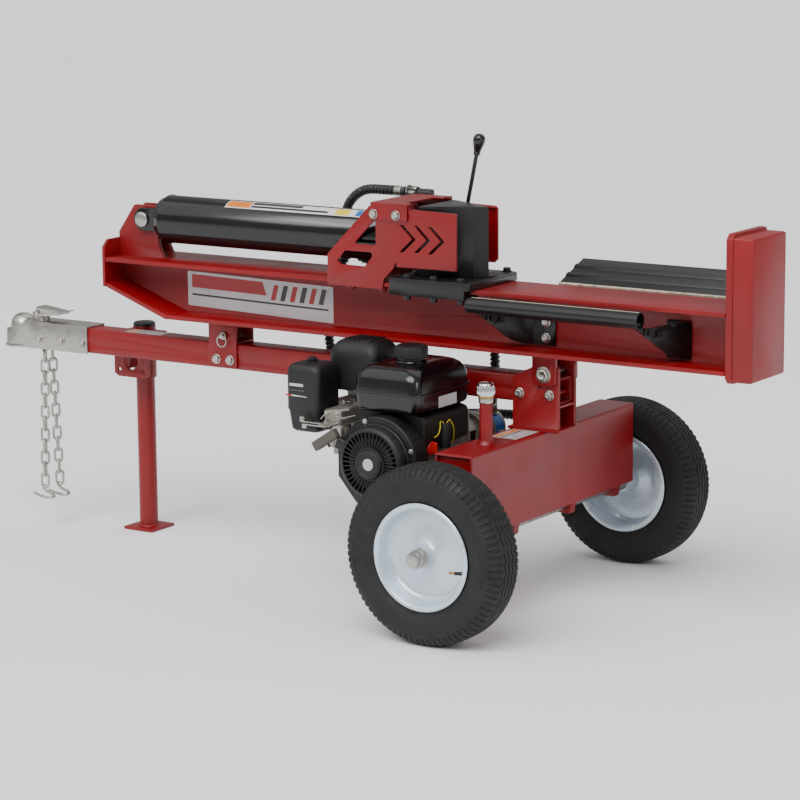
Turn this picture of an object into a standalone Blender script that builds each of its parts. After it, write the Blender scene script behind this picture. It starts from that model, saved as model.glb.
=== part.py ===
"""Tow-behind hydraulic log splitter, modelled as separate pieces in metres, +Z up.

X runs along the beam towards the foot plate, Y across the machine, and Z = 0 is the ground.
All sizes below are given from the wheel axle's vertical plane; the whole machine hangs from one
empty that moves the origin to the middle of its ground plan.
"""

import math

import bmesh
import bpy
from mathutils import Matrix, Vector

# ---------------------------------------------------------------- driving dimensions (metres)
GAP = 0.0003  # between pieces that touch

# wheels and axle
TYRE_RADIUS = 0.205
TYRE_HALF_WIDTH = 0.0575
RIM_RADIUS = 0.122
TRACK = 0.904  # between the tyres' centre planes
AXLE_RADIUS = 0.0127
HUB_HALF = 0.046
WHEEL_SIDES = 20

# oil tank, which carries the axle
TANK_X = (-0.042, 0.055)
TANK_HALF = 0.373
TANK_TOP = 0.416
TANK_WALL = 0.004

# tongue
TONGUE = 0.0635  # square tube, outside
TONGUE_WALL = 0.005
TONGUE_Z = 0.4765  # its underside
TONGUE_X = (-1.425, 0.079)
REST_BOLTS = [(-0.896, 0.500), (-0.855, 0.500)]

# upright and tilt pivot
PIVOT = (0.051, 0.550)
UPRIGHT_X = (-0.038, 0.084)
UPRIGHT_PLATE = 0.010
EAR_PLATE = 0.010
PIVOT_RADIUS = 0.0095
UPRIGHT_BOLTS = [(-0.019, 0.500), (0.061, 0.501)]
LOCK_RADIUS = 0.006  # of the pin that locks the level beam

# beam
BEAM_X = (-1.198, 0.5327)
BEAM_HALF = 0.089
BEAM_Z = (0.597, 0.738)
FLANGE = 0.010
WEB_HALF = 0.004
FOOT_DEPTH = 0.064
FOOT_PLATE = 0.016
FOOT_HALF = 0.0865
FOOT_Z = (0.579, 0.912)

# cylinder
BORE_AXIS_Z = 0.834
BARREL_X = (-1.075, -0.345)
BARREL_RADIUS = 0.0595
BORE_RADIUS = 0.0508
ROD_RADIUS = 0.022
BUTT_PIN_X = -1.115
STROKE = 0.610
# the butt pin and its lugs, and the pin that joins rod and wedge
PIN_RADIUS = 0.0125
LUG_IN = 0.0140
LUG_OUT = 0.0260
ROD_PIN_X = -0.255
ROD_PIN_RADIUS = 0.010

# wedge and slide
WEDGE_X = (-0.272, -0.128)
WEDGE_HALF = 0.078
WEDGE_TOP = 0.9215
SLIDE_X = (-0.330, -0.110)
SLIDE_HALF = 0.116
SLIDE_THICK = 0.0177
GIB_THICK = 0.0117

# guards
GUARD_THICK = 0.005
GUARD_BOLTS = (-0.465, -0.376)
GUARD_BOLT_Y = 0.072
BRIDGE_BOLTS = (-0.383, -0.321)

# log cradle bar and log table
BAR_RADIUS = 0.0185
BAR_X = (-0.100, 0.352)
BAR_Z = 0.713
BAR_OUT = 0.142  # from the beam's middle plane to the bar's axis
WING_X = (-0.003, 0.407)  # folds of the two near brackets
WING_LEAN = 25  # degrees that the wings lean back from straight out
WING_THICK = 0.005
TABLE_X = (-0.014, 0.456)
TABLE_START = (0.128, 0.7310)
TABLE_LEAN = 21  # degrees that the table leans up
TABLE_FLANGE = 0.005
TAB_BOLTS = [(0.092, 0.678), (0.115, 0.6815)]  # along a wing, and up
WEB_BOLTS = [(x, z) for x in (WING_X[0] + 0.035, WING_X[1] - 0.035) for z in (0.665, 0.628)]

# engine
CRANK = (-0.215, 0.370)
ENGINE_BASE = 0.2625
CRANK_RADIUS = 0.0125
FUEL_Z = (0.479, 0.592)
MUFFLER_Z = (0.498, 0.617)

# stand
LEG = (-1.238, 0.112)
LEG_RADIUS = 0.024

# coupler
BALL_X = -1.547
NOSE_RADIUS = 0.045
NOSE_LIP = 0.004
COUPLER_WALL = 0.0042
COUPLER_BOLTS = [(-1.393, 0.501), (-1.322, 0.501)]
CHAIN_BOLT = 0.0050

# hoses
HOSE_RADIUS = 0.0115
TUBE_RADIUS = 0.0065
PUMP_OUT = (-0.195, 0.125, 0.432)
PUMP_IN = (-0.150, 0.115, 0.355)
TANK_SUCTION = (-0.064, 0.165, 0.290)
TANK_RETURN = (-0.064, 0.215, 0.385)

# ---------------------------------------------------------------- values that follow
AXLE_Z = TYRE_RADIUS
WHEEL_Y = TRACK / 2
TONGUE_HALF = TONGUE / 2
TONGUE_TOP = TONGUE_Z + TONGUE
UPRIGHT_IN = TONGUE_HALF + GAP
UPRIGHT_OUT = UPRIGHT_IN + UPRIGHT_PLATE
EAR_IN = UPRIGHT_OUT + GAP
EAR_OUT = EAR_IN + EAR_PLATE
BEAM_BOTTOM, BEAM_TOP = BEAM_Z
GUARD_IN = BEAM_HALF + 0.0005
GUARD_OUT = GUARD_IN + GUARD_THICK
BRIDGE_OUT = GUARD_OUT + GAP + GUARD_THICK
FOOT_FACE = BEAM_X[1] + GAP
FOOT_END = FOOT_FACE + FOOT_DEPTH
SLIDE_BOTTOM = BEAM_TOP + GAP
SLIDE_TOP = SLIDE_BOTTOM + SLIDE_THICK
COUPLER_IN = TONGUE_HALF + 2 * GAP
COUPLER_OUT = COUPLER_IN + COUPLER_WALL
COUPLER_TOP = TONGUE_TOP + GAP + COUPLER_WALL
NOSE_X = BALL_X - NOSE_RADIUS - NOSE_LIP
MIDDLE_X = (NOSE_X + FOOT_END) / 2  # the origin goes here
FLANGE_UNDER = BEAM_TOP - FLANGE
CRANK_X, CRANK_Z = CRANK
VALVE_Y = (GUARD_OUT + GAP, 0.150)
VALVE_X = (-0.440, -0.300)
VALVE_Z = (0.800, 0.868)
VALVE_MID_Y = 0.130
VALVE_BOSS_X = -0.405
PORT_RADIUS = 0.0085
PRESSURE_END = (-0.440 - GAP, VALVE_MID_Y, 0.926)
RETURN_START = (-0.455 - GAP, VALVE_Y[1] + 0.039, 0.838)
LEVER_PIVOT = (-0.281, 0.838)
LEVER_LEAN = 0.211
LEVER_KNOB_Z = 1.0525
LATCH_PIVOT = (-1.484, 0.567)
CHAIN_X = -1.466
CHAIN_Z = 0.500
FUEL_CAP = (-0.210, -0.208)
FILLER = (0.008, -0.235)
RECOIL_Y = -0.3455  # back of the recoil cover
GRIP = (-0.345, -0.362, 0.411)
PULL = Vector((-0.545, 0.0, 0.839)).normalized()
DIPSTICK = (-0.1345, -0.256, 0.396)
PUMP_Y = (0.0450, 0.150)

RED = ("red_enamel", (0.47, 0.010, 0.014), 0.32, 0.0)
BLACK = ("black_enamel", (0.012, 0.012, 0.014), 0.40, 0.0)
ZINC = ("zinc_plate", (0.60, 0.62, 0.64), 0.34, 1.0)
STEEL = ("bare_steel", (0.45, 0.45, 0.46), 0.36, 1.0)
CHROME = ("hard_chrome", (0.80, 0.80, 0.82), 0.10, 1.0)
CAST = ("cast_aluminium", (0.42, 0.41, 0.40), 0.50, 0.8)
IRON = ("cast_iron", (0.16, 0.15, 0.14), 0.60, 0.6)
RUBBER = ("tyre_rubber", (0.020, 0.019, 0.019), 0.80, 0.0)
HOSE = ("hose_rubber", (0.015, 0.015, 0.016), 0.62, 0.0)
WHITE = ("white_enamel", (0.78, 0.80, 0.82), 0.22, 0.0)
GLOSS = ("black_gloss", (0.008, 0.008, 0.009), 0.15, 0.0)
PLASTIC = ("black_plastic", (0.020, 0.020, 0.022), 0.52, 0.0)
GREY = ("grey_plastic", (0.13, 0.12, 0.11), 0.55, 0.0)
CAP_RED = ("red_plastic", (0.60, 0.02, 0.01), 0.40, 0.0)

# body: where its joint is, from the axle plane, and the body that it moves on
BODIES = {
    "chassis": ((0, 0, 0), None),
    "beam_assembly": ((PIVOT[0], 0, PIVOT[1]), "chassis"),
    "ram": ((SLIDE_X[0], 0, SLIDE_TOP), "beam_assembly"),
    "lever": ((LEVER_PIVOT[0], VALVE_MID_Y, LEVER_PIVOT[1]), "beam_assembly"),
    "near_wheel": ((0, -WHEEL_Y, AXLE_Z), "chassis"),
    "far_wheel": ((0, WHEEL_Y, AXLE_Z), "chassis"),
    "latch": ((LATCH_PIVOT[0], 0, LATCH_PIVOT[1]), "chassis"),
    "leg": ((LEG[0], LEG[1], 0), "chassis"),
    "leg_pin": ((LEG[0], LEG[1], 0.402), "chassis"),
    "lock_pin": ((-0.871, 0, 0.560), "chassis"),
    "chain_near": ((CHAIN_X, -0.014, CHAIN_Z), "chassis"),
    "chain_far": ((CHAIN_X, 0.014, CHAIN_Z), "chassis"),
    "fuel_filler": ((FUEL_CAP[0], FUEL_CAP[1], 0.6), "chassis"),
    "breather": ((FILLER[0], FILLER[1], 0.52), "chassis"),
    "oil_stick": (DIPSTICK, "chassis"),
    "grip": (GRIP, "chassis"),
    "pulley": ((CRANK_X, RECOIL_Y, CRANK_Z), "chassis"),
    "crank": ((CRANK_X, 0, CRANK_Z), "chassis"),
    "choke": ((-0.372, -0.325, 0.439), "chassis"),
    "throttle": ((-0.372, -0.325, 0.433), "chassis"),
}
EMPTIES = {}  # body: its empty


# ---------------------------------------------------------------- making and joining solids
def solid(name, bm):
    """An object from a bmesh, its faces pointing out."""
    bmesh.ops.remove_doubles(bm, verts=bm.verts, dist=1e-6)
    bmesh.ops.recalc_face_normals(bm, faces=bm.faces)
    mesh = bpy.data.meshes.new(name)
    bm.to_mesh(mesh)
    bm.free()
    obj = bpy.data.objects.new(name, mesh)
    bpy.context.collection.objects.link(obj)
    return obj


def box(low, high, name="box"):
    """A block between two opposite corners."""
    bm = bmesh.new()
    bmesh.ops.create_cube(bm, size=1)
    size = [high[i] - low[i] for i in range(3)]
    middle = [(high[i] + low[i]) / 2 for i in range(3)]
    bmesh.ops.scale(bm, vec=size, verts=bm.verts)
    bmesh.ops.translate(bm, vec=middle, verts=bm.verts)
    return solid(name, bm)


def prism(outline, low, high, across="Y", name="prism"):
    """A flat outline pushed from low to high along the axis across."""
    spread = {
        "X": lambda a, b, c: (c, a, b), "Y": lambda a, b, c: (a, c, b), "Z": lambda a, b, c: (a, b, c),
    }
    place = spread[across]
    bm = bmesh.new()
    face = bm.faces.new([bm.verts.new(place(a, b, low)) for a, b in outline])
    pushed = bmesh.ops.extrude_face_region(bm, geom=[face])
    corners = [v for v in pushed["geom"] if isinstance(v, bmesh.types.BMVert)]
    bmesh.ops.translate(bm, vec=place(0, 0, high - low), verts=corners)
    return solid(name, bm)


def round_sides(radius):
    """How many sides a round of that radius gets."""
    for limit, sides in ((0.012, 8), (0.035, 12), (0.055, 16)):
        if radius < limit:
            return sides
    return 20


def rod(start, end, radius, sides=None, name="rod"):
    """A round bar between two points; six sides make a hexagon."""
    start, end = Vector(start), Vector(end)
    sides = sides or round_sides(radius)
    bm = bmesh.new()
    bmesh.ops.create_cone(
        bm, cap_ends=True, segments=sides, radius1=radius, radius2=radius, depth=(end - start).length,
    )
    turn = (end - start).to_track_quat("Z", "Y").to_matrix().to_4x4()
    bmesh.ops.transform(bm, matrix=Matrix.Translation((start + end) / 2) @ turn, verts=bm.verts)
    return solid(name, bm)


def turned(outline, centre, axis="Y", sides=None, name="turned"):
    """An outline of (radius, along) points turned about an axis through centre."""
    sides = sides or round_sides(max(radius for radius, _ in outline))
    bm = bmesh.new()
    corners = [bm.verts.new((radius, 0, along)) for radius, along in outline]
    pairs = zip(corners, corners[1:] + corners[:1])
    edges = [bm.edges.new(pair) for pair in pairs if pair[0].co.x > 0 or pair[1].co.x > 0]
    bmesh.ops.spin(bm, geom=corners + edges, cent=(0, 0, 0), axis=(0, 0, 1), angle=2 * math.pi, steps=sides)
    turn = {
        "Z": Matrix.Identity(4),
        "Y": Matrix.Rotation(-math.pi / 2, 4, "X"),
        "X": Matrix.Rotation(math.pi / 2, 4, "Y"),
    }[axis]
    bmesh.ops.transform(bm, matrix=Matrix.Translation(centre) @ turn, verts=bm.verts)
    return solid(name, bm)


def swept(points, radius, sides=8, closed=False, name="swept"):
    """A round tube along points, or a closed link."""
    points = [Vector(p) for p in points]
    count = len(points)
    bm = bmesh.new()
    rings = []
    side = None
    for i, point in enumerate(points):
        before = points[i - 1] if i or closed else point
        after = points[(i + 1) % count] if i + 1 < count or closed else point
        along = (after - before).normalized()
        if side is None:
            side = along.orthogonal().normalized()
        side = (side - along * side.dot(along)).normalized()
        up = along.cross(side)
        angles = [2 * math.pi * k / sides for k in range(sides)]
        rings.append(
            [bm.verts.new(point + radius * (side * math.cos(a) + up * math.sin(a))) for a in angles]
        )
    for i in range(count if closed else count - 1):
        near, far = rings[i], rings[(i + 1) % count]
        for k in range(sides):
            bm.faces.new((near[k], near[(k + 1) % sides], far[(k + 1) % sides], far[k]))
    if not closed:
        bm.faces.new(rings[0])
        bm.faces.new(rings[-1])
    return solid(name, bm)


def combine(base, tools, operation):
    """One Boolean after another, applied, with the tools removed."""
    for tool in tools:
        change = base.modifiers.new("combine", "BOOLEAN")
        change.operation = operation
        change.solver = "EXACT"
        change.object = tool
        depsgraph = bpy.context.evaluated_depsgraph_get()
        mesh = bpy.data.meshes.new_from_object(base.evaluated_get(depsgraph))
        base.modifiers.clear()
        base.data = mesh
        bpy.data.objects.remove(tool)
    return base


def join(base, *tools):
    return combine(base, tools, "UNION")


def cut(base, *tools):
    return combine(base, tools, "DIFFERENCE")


def eased(obj, width, segments=1):
    """Bevels the edges sharper than 50 degrees."""
    bevel = obj.modifiers.new("ease", "BEVEL")
    bevel.width = width
    bevel.segments = segments
    bevel.limit_method = "ANGLE"
    bevel.angle_limit = math.radians(50)
    depsgraph = bpy.context.evaluated_depsgraph_get()
    mesh = bpy.data.meshes.new_from_object(obj.evaluated_get(depsgraph))
    obj.modifiers.clear()
    obj.data = mesh
    return obj


def smooth_route(points, spacing):
    """Points at an even spacing along a smooth curve through the route's own points."""
    points = [Vector(p) for p in points]
    ends = [2 * points[0] - points[1]] + points + [2 * points[-1] - points[-2]]
    fine = []
    for a, b, c, d in zip(ends, ends[1:], ends[2:], ends[3:]):
        for k in range(24):
            t = k / 24
            fine.append(
                0.5 * (
                    2 * b + (c - a) * t + (2 * a - 5 * b + 4 * c - d) * t**2
                    + (3 * b - a - 3 * c + d) * t**3
                )
            )
    fine.append(points[-1])
    length = sum((q - p).length for p, q in zip(fine, fine[1:]))
    steps = max(2, round(length / spacing))
    even, walked, target = [fine[0]], 0.0, length / steps
    for p, q in zip(fine, fine[1:]):
        stretch = (q - p).length
        while walked + stretch >= target and len(even) < steps:
            even.append(p.lerp(q, (target - walked) / stretch))
            target += length / steps
        walked += stretch
    return even + [fine[-1]]


def material(spec):
    """The Principled material of that finish, made once."""
    name, colour, roughness, metallic = spec
    made = bpy.data.materials.get(name)
    if made is None:
        made = bpy.data.materials.new(name)
        made.use_nodes = True
        shader = made.node_tree.nodes["Principled BSDF"]
        shader.inputs["Base Color"].default_value = (*colour, 1)
        shader.inputs["Roughness"].default_value = roughness
        shader.inputs["Metallic"].default_value = metallic
        made.diffuse_color = (*colour, 1)
    return made


def make_bodies():
    """One empty for each body, on its joint, under the empty that centres the machine."""
    root = bpy.data.objects.new("machine", None)
    root.location = (-MIDDLE_X, 0, 0)
    bpy.context.collection.objects.link(root)
    empties = {}
    for body, (point, parent) in BODIES.items():
        empty = bpy.data.objects.new(body + "_joint", None)
        empty.parent = empties[parent] if parent else root
        base = BODIES[parent][0] if parent else (0, 0, 0)
        empty.location = Vector(point) - Vector(base)
        bpy.context.collection.objects.link(empty)
        empties[body] = empty
    return empties


def keep(obj, name, finish, body="chassis"):
    """Names a finished piece, gives it its finish and hangs it on its body's joint."""
    obj.name = name
    obj.data.name = name
    obj.data.materials.clear()
    obj.data.materials.append(material(finish))
    obj.data.transform(Matrix.Translation(-Vector(BODIES[body][0])))
    obj.data.shade_smooth()
    obj.data.set_sharp_from_angle(angle=math.radians(35))
    obj.parent = EMPTIES[body]
    return obj


# ---------------------------------------------------------------- wheels, axle and tank
def make_wheel(side):
    """A pneumatic tyre on a dished pressed rim, about the axle line."""
    where = (0, side * WHEEL_Y, AXLE_Z)
    tread = TYRE_RADIUS
    shell = [
        (0.1135, -0.040), (RIM_RADIUS, -0.0435), (
            0.162, -TYRE_HALF_WIDTH,
        ), (0.197, -0.044), (tread, -0.020),
        (tread, 0.020), (0.197, 0.044), (0.162, TYRE_HALF_WIDTH), (RIM_RADIUS, 0.0435), (0.1135, 0.040),
        (0.119, 0.032), (0.160, 0.048), (0.192, 0.030), (0.192, -0.030), (0.160, -0.048), (0.119, -0.032),
    ]
    tyre = turned(shell, where, sides=WHEEL_SIDES)
    bead = 0.1135 - GAP
    seat = bead - 0.001
    profile = [
        (
            AXLE_RADIUS + GAP, -HUB_HALF,
        ), (0.023, -HUB_HALF), (0.024, -0.015), (0.060, 0.010), (0.1085, 0.006),
        (
            0.1085, -0.0480,
        ), (0.123, -0.0515), (seat, -0.0440), (seat, 0.0440), (0.123, 0.0515), (0.1085, 0.0480),
        (0.1085, 0.010), (0.060, 0.015), (0.024, 0.026), (0.024, HUB_HALF + GAP), (0.0205, HUB_HALF + GAP),
        (0.0205, 0.074), (0.013, 0.0835), (0.0, 0.0845), (0.0, 0.081), (0.0175, 0.072), (0.0175, HUB_HALF),
    ]
    return tyre, turned([(radius, side * along) for radius, along in profile], where, sides=WHEEL_SIDES)


def make_axle():
    """A cold-drawn shaft with stop collars, and a washer and nut at each end."""
    end = WHEEL_Y + HUB_HALF + GAP
    shaft = rod((0, -end, AXLE_Z), (0, end, AXLE_Z), AXLE_RADIUS)
    inner = WHEEL_Y - HUB_HALF - GAP
    for side in (-1, 1):
        collar = rod((0, side * (TANK_HALF + 0.004), AXLE_Z), (0, side * inner, AXLE_Z), 0.019)
        washer = rod((0, side * (end - 0.001), AXLE_Z), (0, side * (end + 0.002), AXLE_Z), 0.0155)
        nut = rod((0, side * (end + 0.001), AXLE_Z), (0, side * (end + 0.013), AXLE_Z), 0.0135, 6)
        stub = rod((0, side * (end - 0.002), AXLE_Z), (0, side * (end + 0.018), AXLE_Z), 0.008)
        join(shaft, collar, washer, nut, stub)
    return shaft


def make_tank():
    """A welded oil tank with recessed ends, saddles around the axle and a filler hole in its top."""
    bottom = AXLE_Z + AXLE_RADIUS + 0.0025
    tank = eased(box((TANK_X[0], -TANK_HALF, bottom), (TANK_X[1], TANK_HALF, TANK_TOP)), 0.005, 2)
    recess = 0.010
    pockets = []
    for side in (-1, 1):
        ends = sorted((side * (TANK_HALF - recess), side * (TANK_HALF + 0.01)))
        pockets.append(
            box(
                (TANK_X[0] + 0.005, ends[0], bottom + 0.005),
                (TANK_X[1] - 0.005, ends[1], TANK_TOP - 0.005),
            )
        )
    hollow_half = TANK_HALF - recess - TANK_WALL
    wall = TANK_WALL + 0.001
    hollow = box(
        (TANK_X[0] + wall, -hollow_half, bottom + wall), (
            TANK_X[1] - wall, hollow_half, TANK_TOP - TANK_WALL,
        )
    )
    filler = rod((*FILLER, TANK_TOP - 0.02), (*FILLER, TANK_TOP + 0.01), 0.0125)
    cut(tank, *pockets, hollow, filler)
    hole = rod((0, -TANK_HALF, AXLE_Z), (0, TANK_HALF, AXLE_Z), AXLE_RADIUS + GAP)
    for y in (-0.345, -0.13, 0.13, 0.345):
        block = [(-0.028, bottom + 0.001), (-0.022, 0.186), (0.022, 0.186), (0.028, bottom + 0.001)]
        join(tank, prism(block, y - 0.012, y + 0.012))
    return cut(tank, hole)


def make_filler_neck():
    """A tube welded over the filler hole."""
    low, high = TANK_TOP + GAP, 0.511
    profile = [
        (0.0125, low), (0.0190, low), (0.0185, low + 0.003), (0.0150, low + 0.006), (0.0150, high),
        (0.0125, high),
    ]
    return turned(profile, (*FILLER, 0), "Z")


def make_breather():
    """A fluted cap whose plug sits in the filler neck."""
    base = 0.511 + GAP
    profile = [
        (0.0, 0.490), (0.0120, 0.490), (0.0120, base), (0.0165, base), (0.0175, 0.5245), (0.0205, 0.5255),
        (0.0205, 0.549), (0.0185, 0.555), (0.0145, 0.5575), (0.0, 0.5575),
    ]
    cap = turned(profile, (*FILLER, 0), "Z")
    flutes = []
    for k in range(12):
        a = 2 * math.pi * k / 12
        x, y = FILLER[0] + 0.0218 * math.cos(a), FILLER[1] + 0.0218 * math.sin(a)
        flutes.append(rod((x, y, 0.527), (x, y, 0.547), 0.0024, 4))
    return cut(cap, *flutes)


# ---------------------------------------------------------------- tongue and upright
def make_tongue():
    """A square tube, with the holes of the bolts that pass through it."""
    low, high = TONGUE_X
    outer = box((low, -TONGUE_HALF, TONGUE_Z), (high, TONGUE_HALF, TONGUE_TOP))
    outer = eased(outer, 0.005, 2)
    inner = TONGUE_HALF - TONGUE_WALL
    bore = box(
        (low - 0.01, -inner, TONGUE_Z + TONGUE_WALL), (high + 0.01, inner, TONGUE_TOP - TONGUE_WALL)
    )
    holes = [cross_hole(x, z, 0.006) for x, z in UPRIGHT_BOLTS + REST_BOLTS + COUPLER_BOLTS]
    return cut(outer, bore, *holes)


def cross_hole(x, z, radius, reach=0.07, sides=None):
    """A cutter along Y for a bolt of that radius."""
    return rod((x, -reach, z), (x, reach, z), radius + GAP, sides)


def cross_bolt(x, z, radius, face, head=0.0095, sides=None):
    """A bolt along Y with a hexagon head and nut against faces at plus and minus face."""
    shank = rod((x, -face - 0.004, z), (x, face + 0.006, z), radius, sides)
    near = rod((x, -face - 0.007, z), (x, -face + 0.0005, z), head, 6)
    far = rod((x, face - 0.0005, z), (x, face + 0.0085, z), head, 6)
    return join(shank, near, far)


def arc(centre, radius, start, end, steps):
    """Points of a round stretch, angles in degrees."""
    return [
        (
            centre[0] + radius * math.cos(math.radians(start + (end - start) * k / steps)),
            centre[1] + radius * math.sin(math.radians(start + (end - start) * k / steps)),
        )
        for k in range(steps + 1)
    ]


def make_upright():
    """Two cheek plates on a base flange, with shelves that clamp the tongue and its two cross bolts."""
    floor = TANK_TOP + GAP
    left, right = UPRIGHT_X
    outline = [
        (left, floor), (right, floor), (right, 0.565), (0.062, 0.588), (0.030, 0.588), (0.015, 0.564),
        (left, 0.536),
    ]
    base = box((left - 0.006, -0.056, floor), (right + 0.010, 0.056, floor + 0.006))
    frame = base
    for side in (-1, 1):
        low, high = sorted((side * UPRIGHT_IN, side * UPRIGHT_OUT))
        join(frame, prism(outline, low, high))
    join(
        frame,
        box(
            (left, -UPRIGHT_OUT + 0.001, TONGUE_Z - GAP - 0.006),
            (right - 0.002, UPRIGHT_OUT - 0.001, TONGUE_Z - GAP),
        ),
        box(
            (left + 0.004, -UPRIGHT_OUT + 0.001, TONGUE_TOP + GAP),
            (0.012, UPRIGHT_OUT - 0.001, TONGUE_TOP + 0.005),
        ),
    )
    cut(frame, cross_hole(*PIVOT, PIVOT_RADIUS, 0.07, 24))
    for x, z in UPRIGHT_BOLTS:
        join(frame, cross_bolt(x, z, 0.006, UPRIGHT_OUT))
    return frame


def make_pivot_bolt():
    """The pivot bolt through the cheek plates and the beam's ears."""
    return cross_bolt(*PIVOT, PIVOT_RADIUS, EAR_OUT + GAP + 0.0005, 0.0150, 24)


def make_rest_bracket():
    """A saddle on the tongue that the level beam rests on, with its two bolts."""
    low, high = -0.920, -0.835
    seat = BEAM_BOTTOM - GAP
    outline = [(low, 0.480), (high, 0.480), (high, seat), (low, seat)]
    inside = TONGUE_HALF + GAP
    outside = inside + 0.005
    bracket = box((low, -outside, seat - 0.006), (high, outside, seat))
    for side in (-1, 1):
        a, b = sorted((side * inside, side * outside))
        join(bracket, prism(outline, a, b))
    join(bracket, box((low, -outside, TONGUE_TOP + GAP), (high, outside, TONGUE_TOP + 0.005)))
    cut(
        bracket, cross_hole(-0.871, 0.560, LOCK_RADIUS),
        box((-0.893, -0.013, 0.575), (-0.849, 0.013, 0.61)),
    )
    for x, z in REST_BOLTS:
        join(bracket, cross_bolt(x, z, 0.006, outside))
    return bracket


def make_lock_pin():
    """The pin that locks the level beam, with a ring handle on the near side."""
    pin = rod((-0.871, -0.052, 0.560), (-0.871, 0.047, 0.560), LOCK_RADIUS)
    head = rod((-0.871, -0.0435, 0.560), (-0.871, -0.0395, 0.560), 0.0095)
    ring = [(-0.871 + 0.014 * math.sin(a), -0.049, 0.548 + 0.014 * math.cos(a)) for a in turn_steps(16)]
    return join(pin, head, swept(ring, 0.0018, 6, closed=True))


def turn_steps(count):
    return [2 * math.pi * k / count for k in range(count)]


# ---------------------------------------------------------------- coupler, chains and stand
def make_coupler():
    """A stamped coupler, an open-bottomed channel with a domed nose, with the tongue's two bolts."""
    right = -1.308
    bottom = TONGUE_Z - 0.002
    nose = arc((BALL_X, 0), NOSE_RADIUS, 120, 240, 8)
    plan = nose + [
        (-1.500, -COUPLER_OUT), (right, -COUPLER_OUT), (right, COUPLER_OUT), (-1.500, COUPLER_OUT),
    ]
    shell = prism(plan, bottom, COUPLER_TOP, "Z")
    slope = [(NOSE_X - 0.01, 0.514), (NOSE_X - 0.01, 0.6), (-1.488, 0.6), (-1.520, 0.532)]
    cut(shell, prism(slope, -0.1, 0.1))
    inner_nose = arc((BALL_X, 0), NOSE_RADIUS - COUPLER_WALL, 125, 235, 8)
    inner = inner_nose + [
        (-1.500, -COUPLER_IN), (right + 0.01, -COUPLER_IN), (right + 0.01, COUPLER_IN),
        (-1.500, COUPLER_IN),
    ]
    room = prism(inner, bottom - 0.01, TONGUE_TOP + GAP, "Z")
    slope_in = [(NOSE_X - 0.01, 0.510), (NOSE_X - 0.01, 0.6), (-1.490, 0.6), (-1.522, 0.528)]
    cut(room, prism(slope_in, -0.1, 0.1))
    cut(shell, room)
    lip = prism(arc((BALL_X, 0), NOSE_RADIUS + NOSE_LIP, 90, 270, 12), bottom, bottom + 0.004, "Z")
    cut(lip, rod((BALL_X, 0, bottom - 0.01), (BALL_X, 0, bottom + 0.01), NOSE_RADIUS - 0.001))
    dome = turned(
        [(0.0, 0.500), (0.027, 0.500), (0.026, 0.530), (0.018, 0.541), (0.0, 0.5445)],
        (BALL_X + 0.004, 0, 0), "Z",
    )
    hollow = turned(
        [(0.0, 0.490), (0.0235, 0.490), (0.0225, 0.528), (0.0, 0.539)], (BALL_X + 0.004, 0, 0), "Z",
    )
    join(shell, lip, dome)
    cut(shell, hollow)
    for x, z in COUPLER_BOLTS:
        join(shell, cross_bolt(x, z, 0.006, COUPLER_OUT, 0.0090))
    chain_bolt = cross_bolt(CHAIN_X, CHAIN_Z, CHAIN_BOLT, COUPLER_OUT, 0.0090)
    x, z = LATCH_PIVOT
    ears = []
    for side in (-1, 1):
        a, b = sorted((side * 0.012, side * 0.015))
        ears.append(
            prism(
                [
                    (x - 0.012, COUPLER_TOP - 0.001), (x + 0.016, COUPLER_TOP - 0.001),
                    (x + 0.0065, z + 0.0062), (x - 0.0065, z + 0.0062),
                ],
                a, b,
            )
        )
    rivet = rod((x, -0.0215, z), (x, 0.0215, z), 0.0035)
    rivet_heads = [rod((x, s * 0.0196, z), (x, s * 0.0225, z), 0.0062) for s in (-1, 1)]
    return join(shell, chain_bolt, *ears, rivet, *rivet_heads)


def make_latch():
    """The coupler's hand latch, a folded channel over the clevis, lifting about its rivet."""
    x, z = LATCH_PIVOT
    side_view = [
        (x - 0.011, z - 0.013), (x + 0.074, z - 0.004), (x + 0.078, z + 0.004), (x - 0.003, z + 0.014),
    ]
    latch = prism(side_view, -0.0192, 0.0192)
    cavity = [
        (x - 0.03, z - 0.03), (x + 0.09, z - 0.030), (x + 0.09, z - 0.003), (x + 0.074, z + 0.0005),
        (x + 0.013, z + 0.0095), (x - 0.03, z + 0.0095),
    ]
    cut(latch, prism(cavity, -0.0162, 0.0162))
    tab = [(x + 0.070, z + 0.0005), (x + 0.096, z + 0.006), (x + 0.096, z + 0.009), (x + 0.070, z + 0.0038)]
    join(latch, prism(tab, -0.015, 0.015))
    return cut(latch, rod((x, -0.03, z), (x, 0.03, z), 0.0035 + GAP))


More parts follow.
